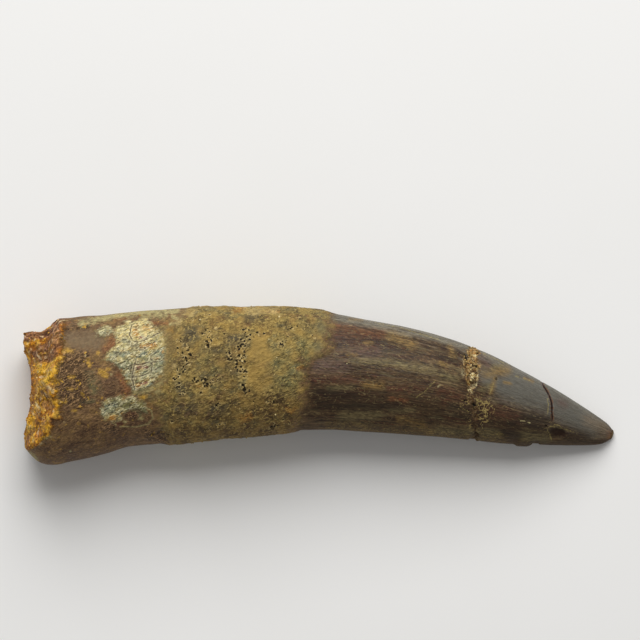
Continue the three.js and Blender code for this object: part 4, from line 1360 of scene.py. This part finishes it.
def grain_tree():
    """Geometry nodes that strew lumps over a surface as thickly as its own grains field says."""
    tree = bpy.data.node_groups.new("Strewn grains", "GeometryNodeTree")
    sockets = {"Surface": "Geometry", "Radius": "Float", "Per Square Metre": "Float", "Seed": "Int"}
    for name, kind in (sockets | {"Finish": "Material"}).items():
        tree.interface.new_socket(name, in_out="INPUT", socket_type="NodeSocket" + kind)
    tree.interface.new_socket("Grains", in_out="OUTPUT", socket_type="NodeSocketGeometry")
    w = Wiring(tree)
    given = tree.nodes.new("NodeGroupInput").outputs
    share = w.node("GeometryNodeInputNamedAttribute", {"Name": "grains"}, data_type="FLOAT").outputs[0]
    density = w.times(share, given["Per Square Metre"])
    inputs = {"Mesh": given["Surface"], "Density": density, "Seed": given["Seed"]}
    strewn = w.node("GeometryNodeDistributePointsOnFaces", inputs)
    lump = w.node("GeometryNodeMeshIcoSphere", {"Radius": given["Radius"], "Subdivisions": 1})
    least, most = ((size,) * 3 for size in GRAIN_STRETCH)
    inputs = {0: least, 1: most, "Seed": given["Seed"]}
    stretch = w.node("FunctionNodeRandomValue", inputs, data_type="FLOAT_VECTOR")
    turn = w.node("FunctionNodeRandomValue", {1: (np.pi,) * 3}, data_type="FLOAT_VECTOR")
    inputs = {"Points": strewn.outputs["Points"], "Instance": lump.outputs["Mesh"]}
    inputs |= {"Rotation": turn.outputs[0], "Scale": stretch.outputs[0]}
    lumps = w.node("GeometryNodeInstanceOnPoints", inputs).outputs[0]
    tint = w.node("FunctionNodeRandomValue", {}, data_type="FLOAT").outputs[1]
    inputs = {"Geometry": lumps, "Name": "tint", "Value": tint}
    kind = {"data_type": "FLOAT", "domain": "INSTANCE"}
    tinted = w.node("GeometryNodeStoreNamedAttribute", inputs, **kind).outputs[0]
    real = w.node("GeometryNodeRealizeInstances", {"Geometry": tinted}).outputs[0]
    inputs = {"Geometry": real, "Material": given["Finish"]}
    finished = w.node("GeometryNodeSetMaterial", inputs).outputs[0]
    w.plug(finished, tree.nodes.new("NodeGroupOutput").inputs["Grains"])
    return tree


def strewn_mesh(surface):
    """The grains on a surface, as a plain mesh that keeps only what their material reads."""
    source = bpy.data.objects.new("grain_source", surface.data)
    bpy.context.scene.collection.objects.link(source)
    modifier = source.modifiers.new("Strewn grains", "NODES")
    modifier.node_group = grain_tree()
    values = {
        "Radius": GRAIN_RADIUS,
        "Per Square Metre": GRAINS_PER_SQUARE_MM / MM**2,
        "Seed": GRAIN_SEED,
        "Finish": grain_material(),
    }
    for item in modifier.node_group.interface.items_tree:
        if item.name in values:
            modifier[item.identifier] = values[item.name]
    evaluated = source.evaluated_get(bpy.context.evaluated_depsgraph_get())
    mesh = bpy.data.meshes.new_from_object(evaluated)
    bpy.data.objects.remove(source)
    mesh.name = "sand_grains"
    spare = [a.name for a in mesh.attributes if not a.is_required and a.name not in GRAIN_FIELDS]
    for name in spare:
        mesh.attributes.remove(mesh.attributes[name])
    return mesh


grains = bpy.data.objects.new("sand_grains", strewn_mesh(tooth))
bpy.context.scene.collection.objects.link(grains)
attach(grains, "root")
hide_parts("fossil_tooth")


# ---------------------------------------------------------------------------------------------------------
# Floor, light and camera: a plain pale table, one large soft lamp on the convex side and an even pale
# surround. The camera looks straight down, with the tooth across the upper middle of its view.
# ---------------------------------------------------------------------------------------------------------

# Lengths here are in metres, but the mottle's is in millimetres, as in every material above.
FLOOR_HALF_SIZE = 1.5
FLOOR_MOTTLE_SIZE = 25.0
FLOOR_ROUGHNESS = 0.9
LAMP_DISTANCE = 0.6
LAMP_FROM_UPRIGHT = np.radians(42)
LAMP_SIZE = 0.5
LAMP_POWER = 3.8
SURROUND_STRENGTH = 0.29
LENS = 600.0
SENSOR_WIDTH = 36.0
PICTURE_WIDTH = 0.08221
PICTURE_MIDDLE = (0.00016, 0.00835, 0.0075)


def floor_material():
    material, w, shader, place = new_material("pale table")
    mottle = w.clouds(place, FLOOR_MOTTLE_SIZE, 4.0, 0.5)
    w.plug(w.colour(mottle, paint("EEEDEA"), paint("F1F0EE")), shader.inputs["Base Color"])
    shader.inputs["Roughness"].default_value = FLOOR_ROUGHNESS
    return material


corners = [(x * FLOOR_HALF_SIZE, y * FLOOR_HALF_SIZE, 0) for x, y in ((-1, -1), (1, -1), (1, 1), (-1, 1))]
floor_mesh = bpy.data.meshes.new("table_top")
floor_mesh.from_pydata(corners, [], [(0, 1, 2, 3)])
floor_mesh.materials.append(floor_material())
floor = bpy.data.objects.new("table_top", floor_mesh)
bpy.context.scene.collection.objects.link(floor)

lamp_data = bpy.data.lights.new("soft_lamp", "AREA")
lamp_data.energy = LAMP_POWER
lamp_data.size = LAMP_SIZE
lamp = bpy.data.objects.new("soft_lamp", lamp_data)
lamp.location = LAMP_DISTANCE * Vector((0, np.sin(LAMP_FROM_UPRIGHT), np.cos(LAMP_FROM_UPRIGHT)))
lamp.rotation_euler = lamp.location.to_track_quat("Z", "Y").to_euler()
bpy.context.scene.collection.objects.link(lamp)

surround = bpy.data.worlds.new("pale_surround")
surround.use_nodes = True
surround.node_tree.nodes["Background"].inputs["Color"].default_value = paint("FFFFFF")
surround.node_tree.nodes["Background"].inputs["Strength"].default_value = SURROUND_STRENGTH
bpy.context.scene.world = surround
bpy.context.scene.view_settings.view_transform = "Standard"

camera_data = bpy.data.cameras.new("camera")
camera_data.lens = LENS
camera_data.sensor_width = SENSOR_WIDTH
camera = bpy.data.objects.new("camera", camera_data)
height_over_tooth = PICTURE_WIDTH * LENS / SENSOR_WIDTH
camera.location = Vector(PICTURE_MIDDLE) + Vector((0, 0, height_over_tooth))
bpy.context.scene.collection.objects.link(camera)
bpy.context.scene.camera = camera
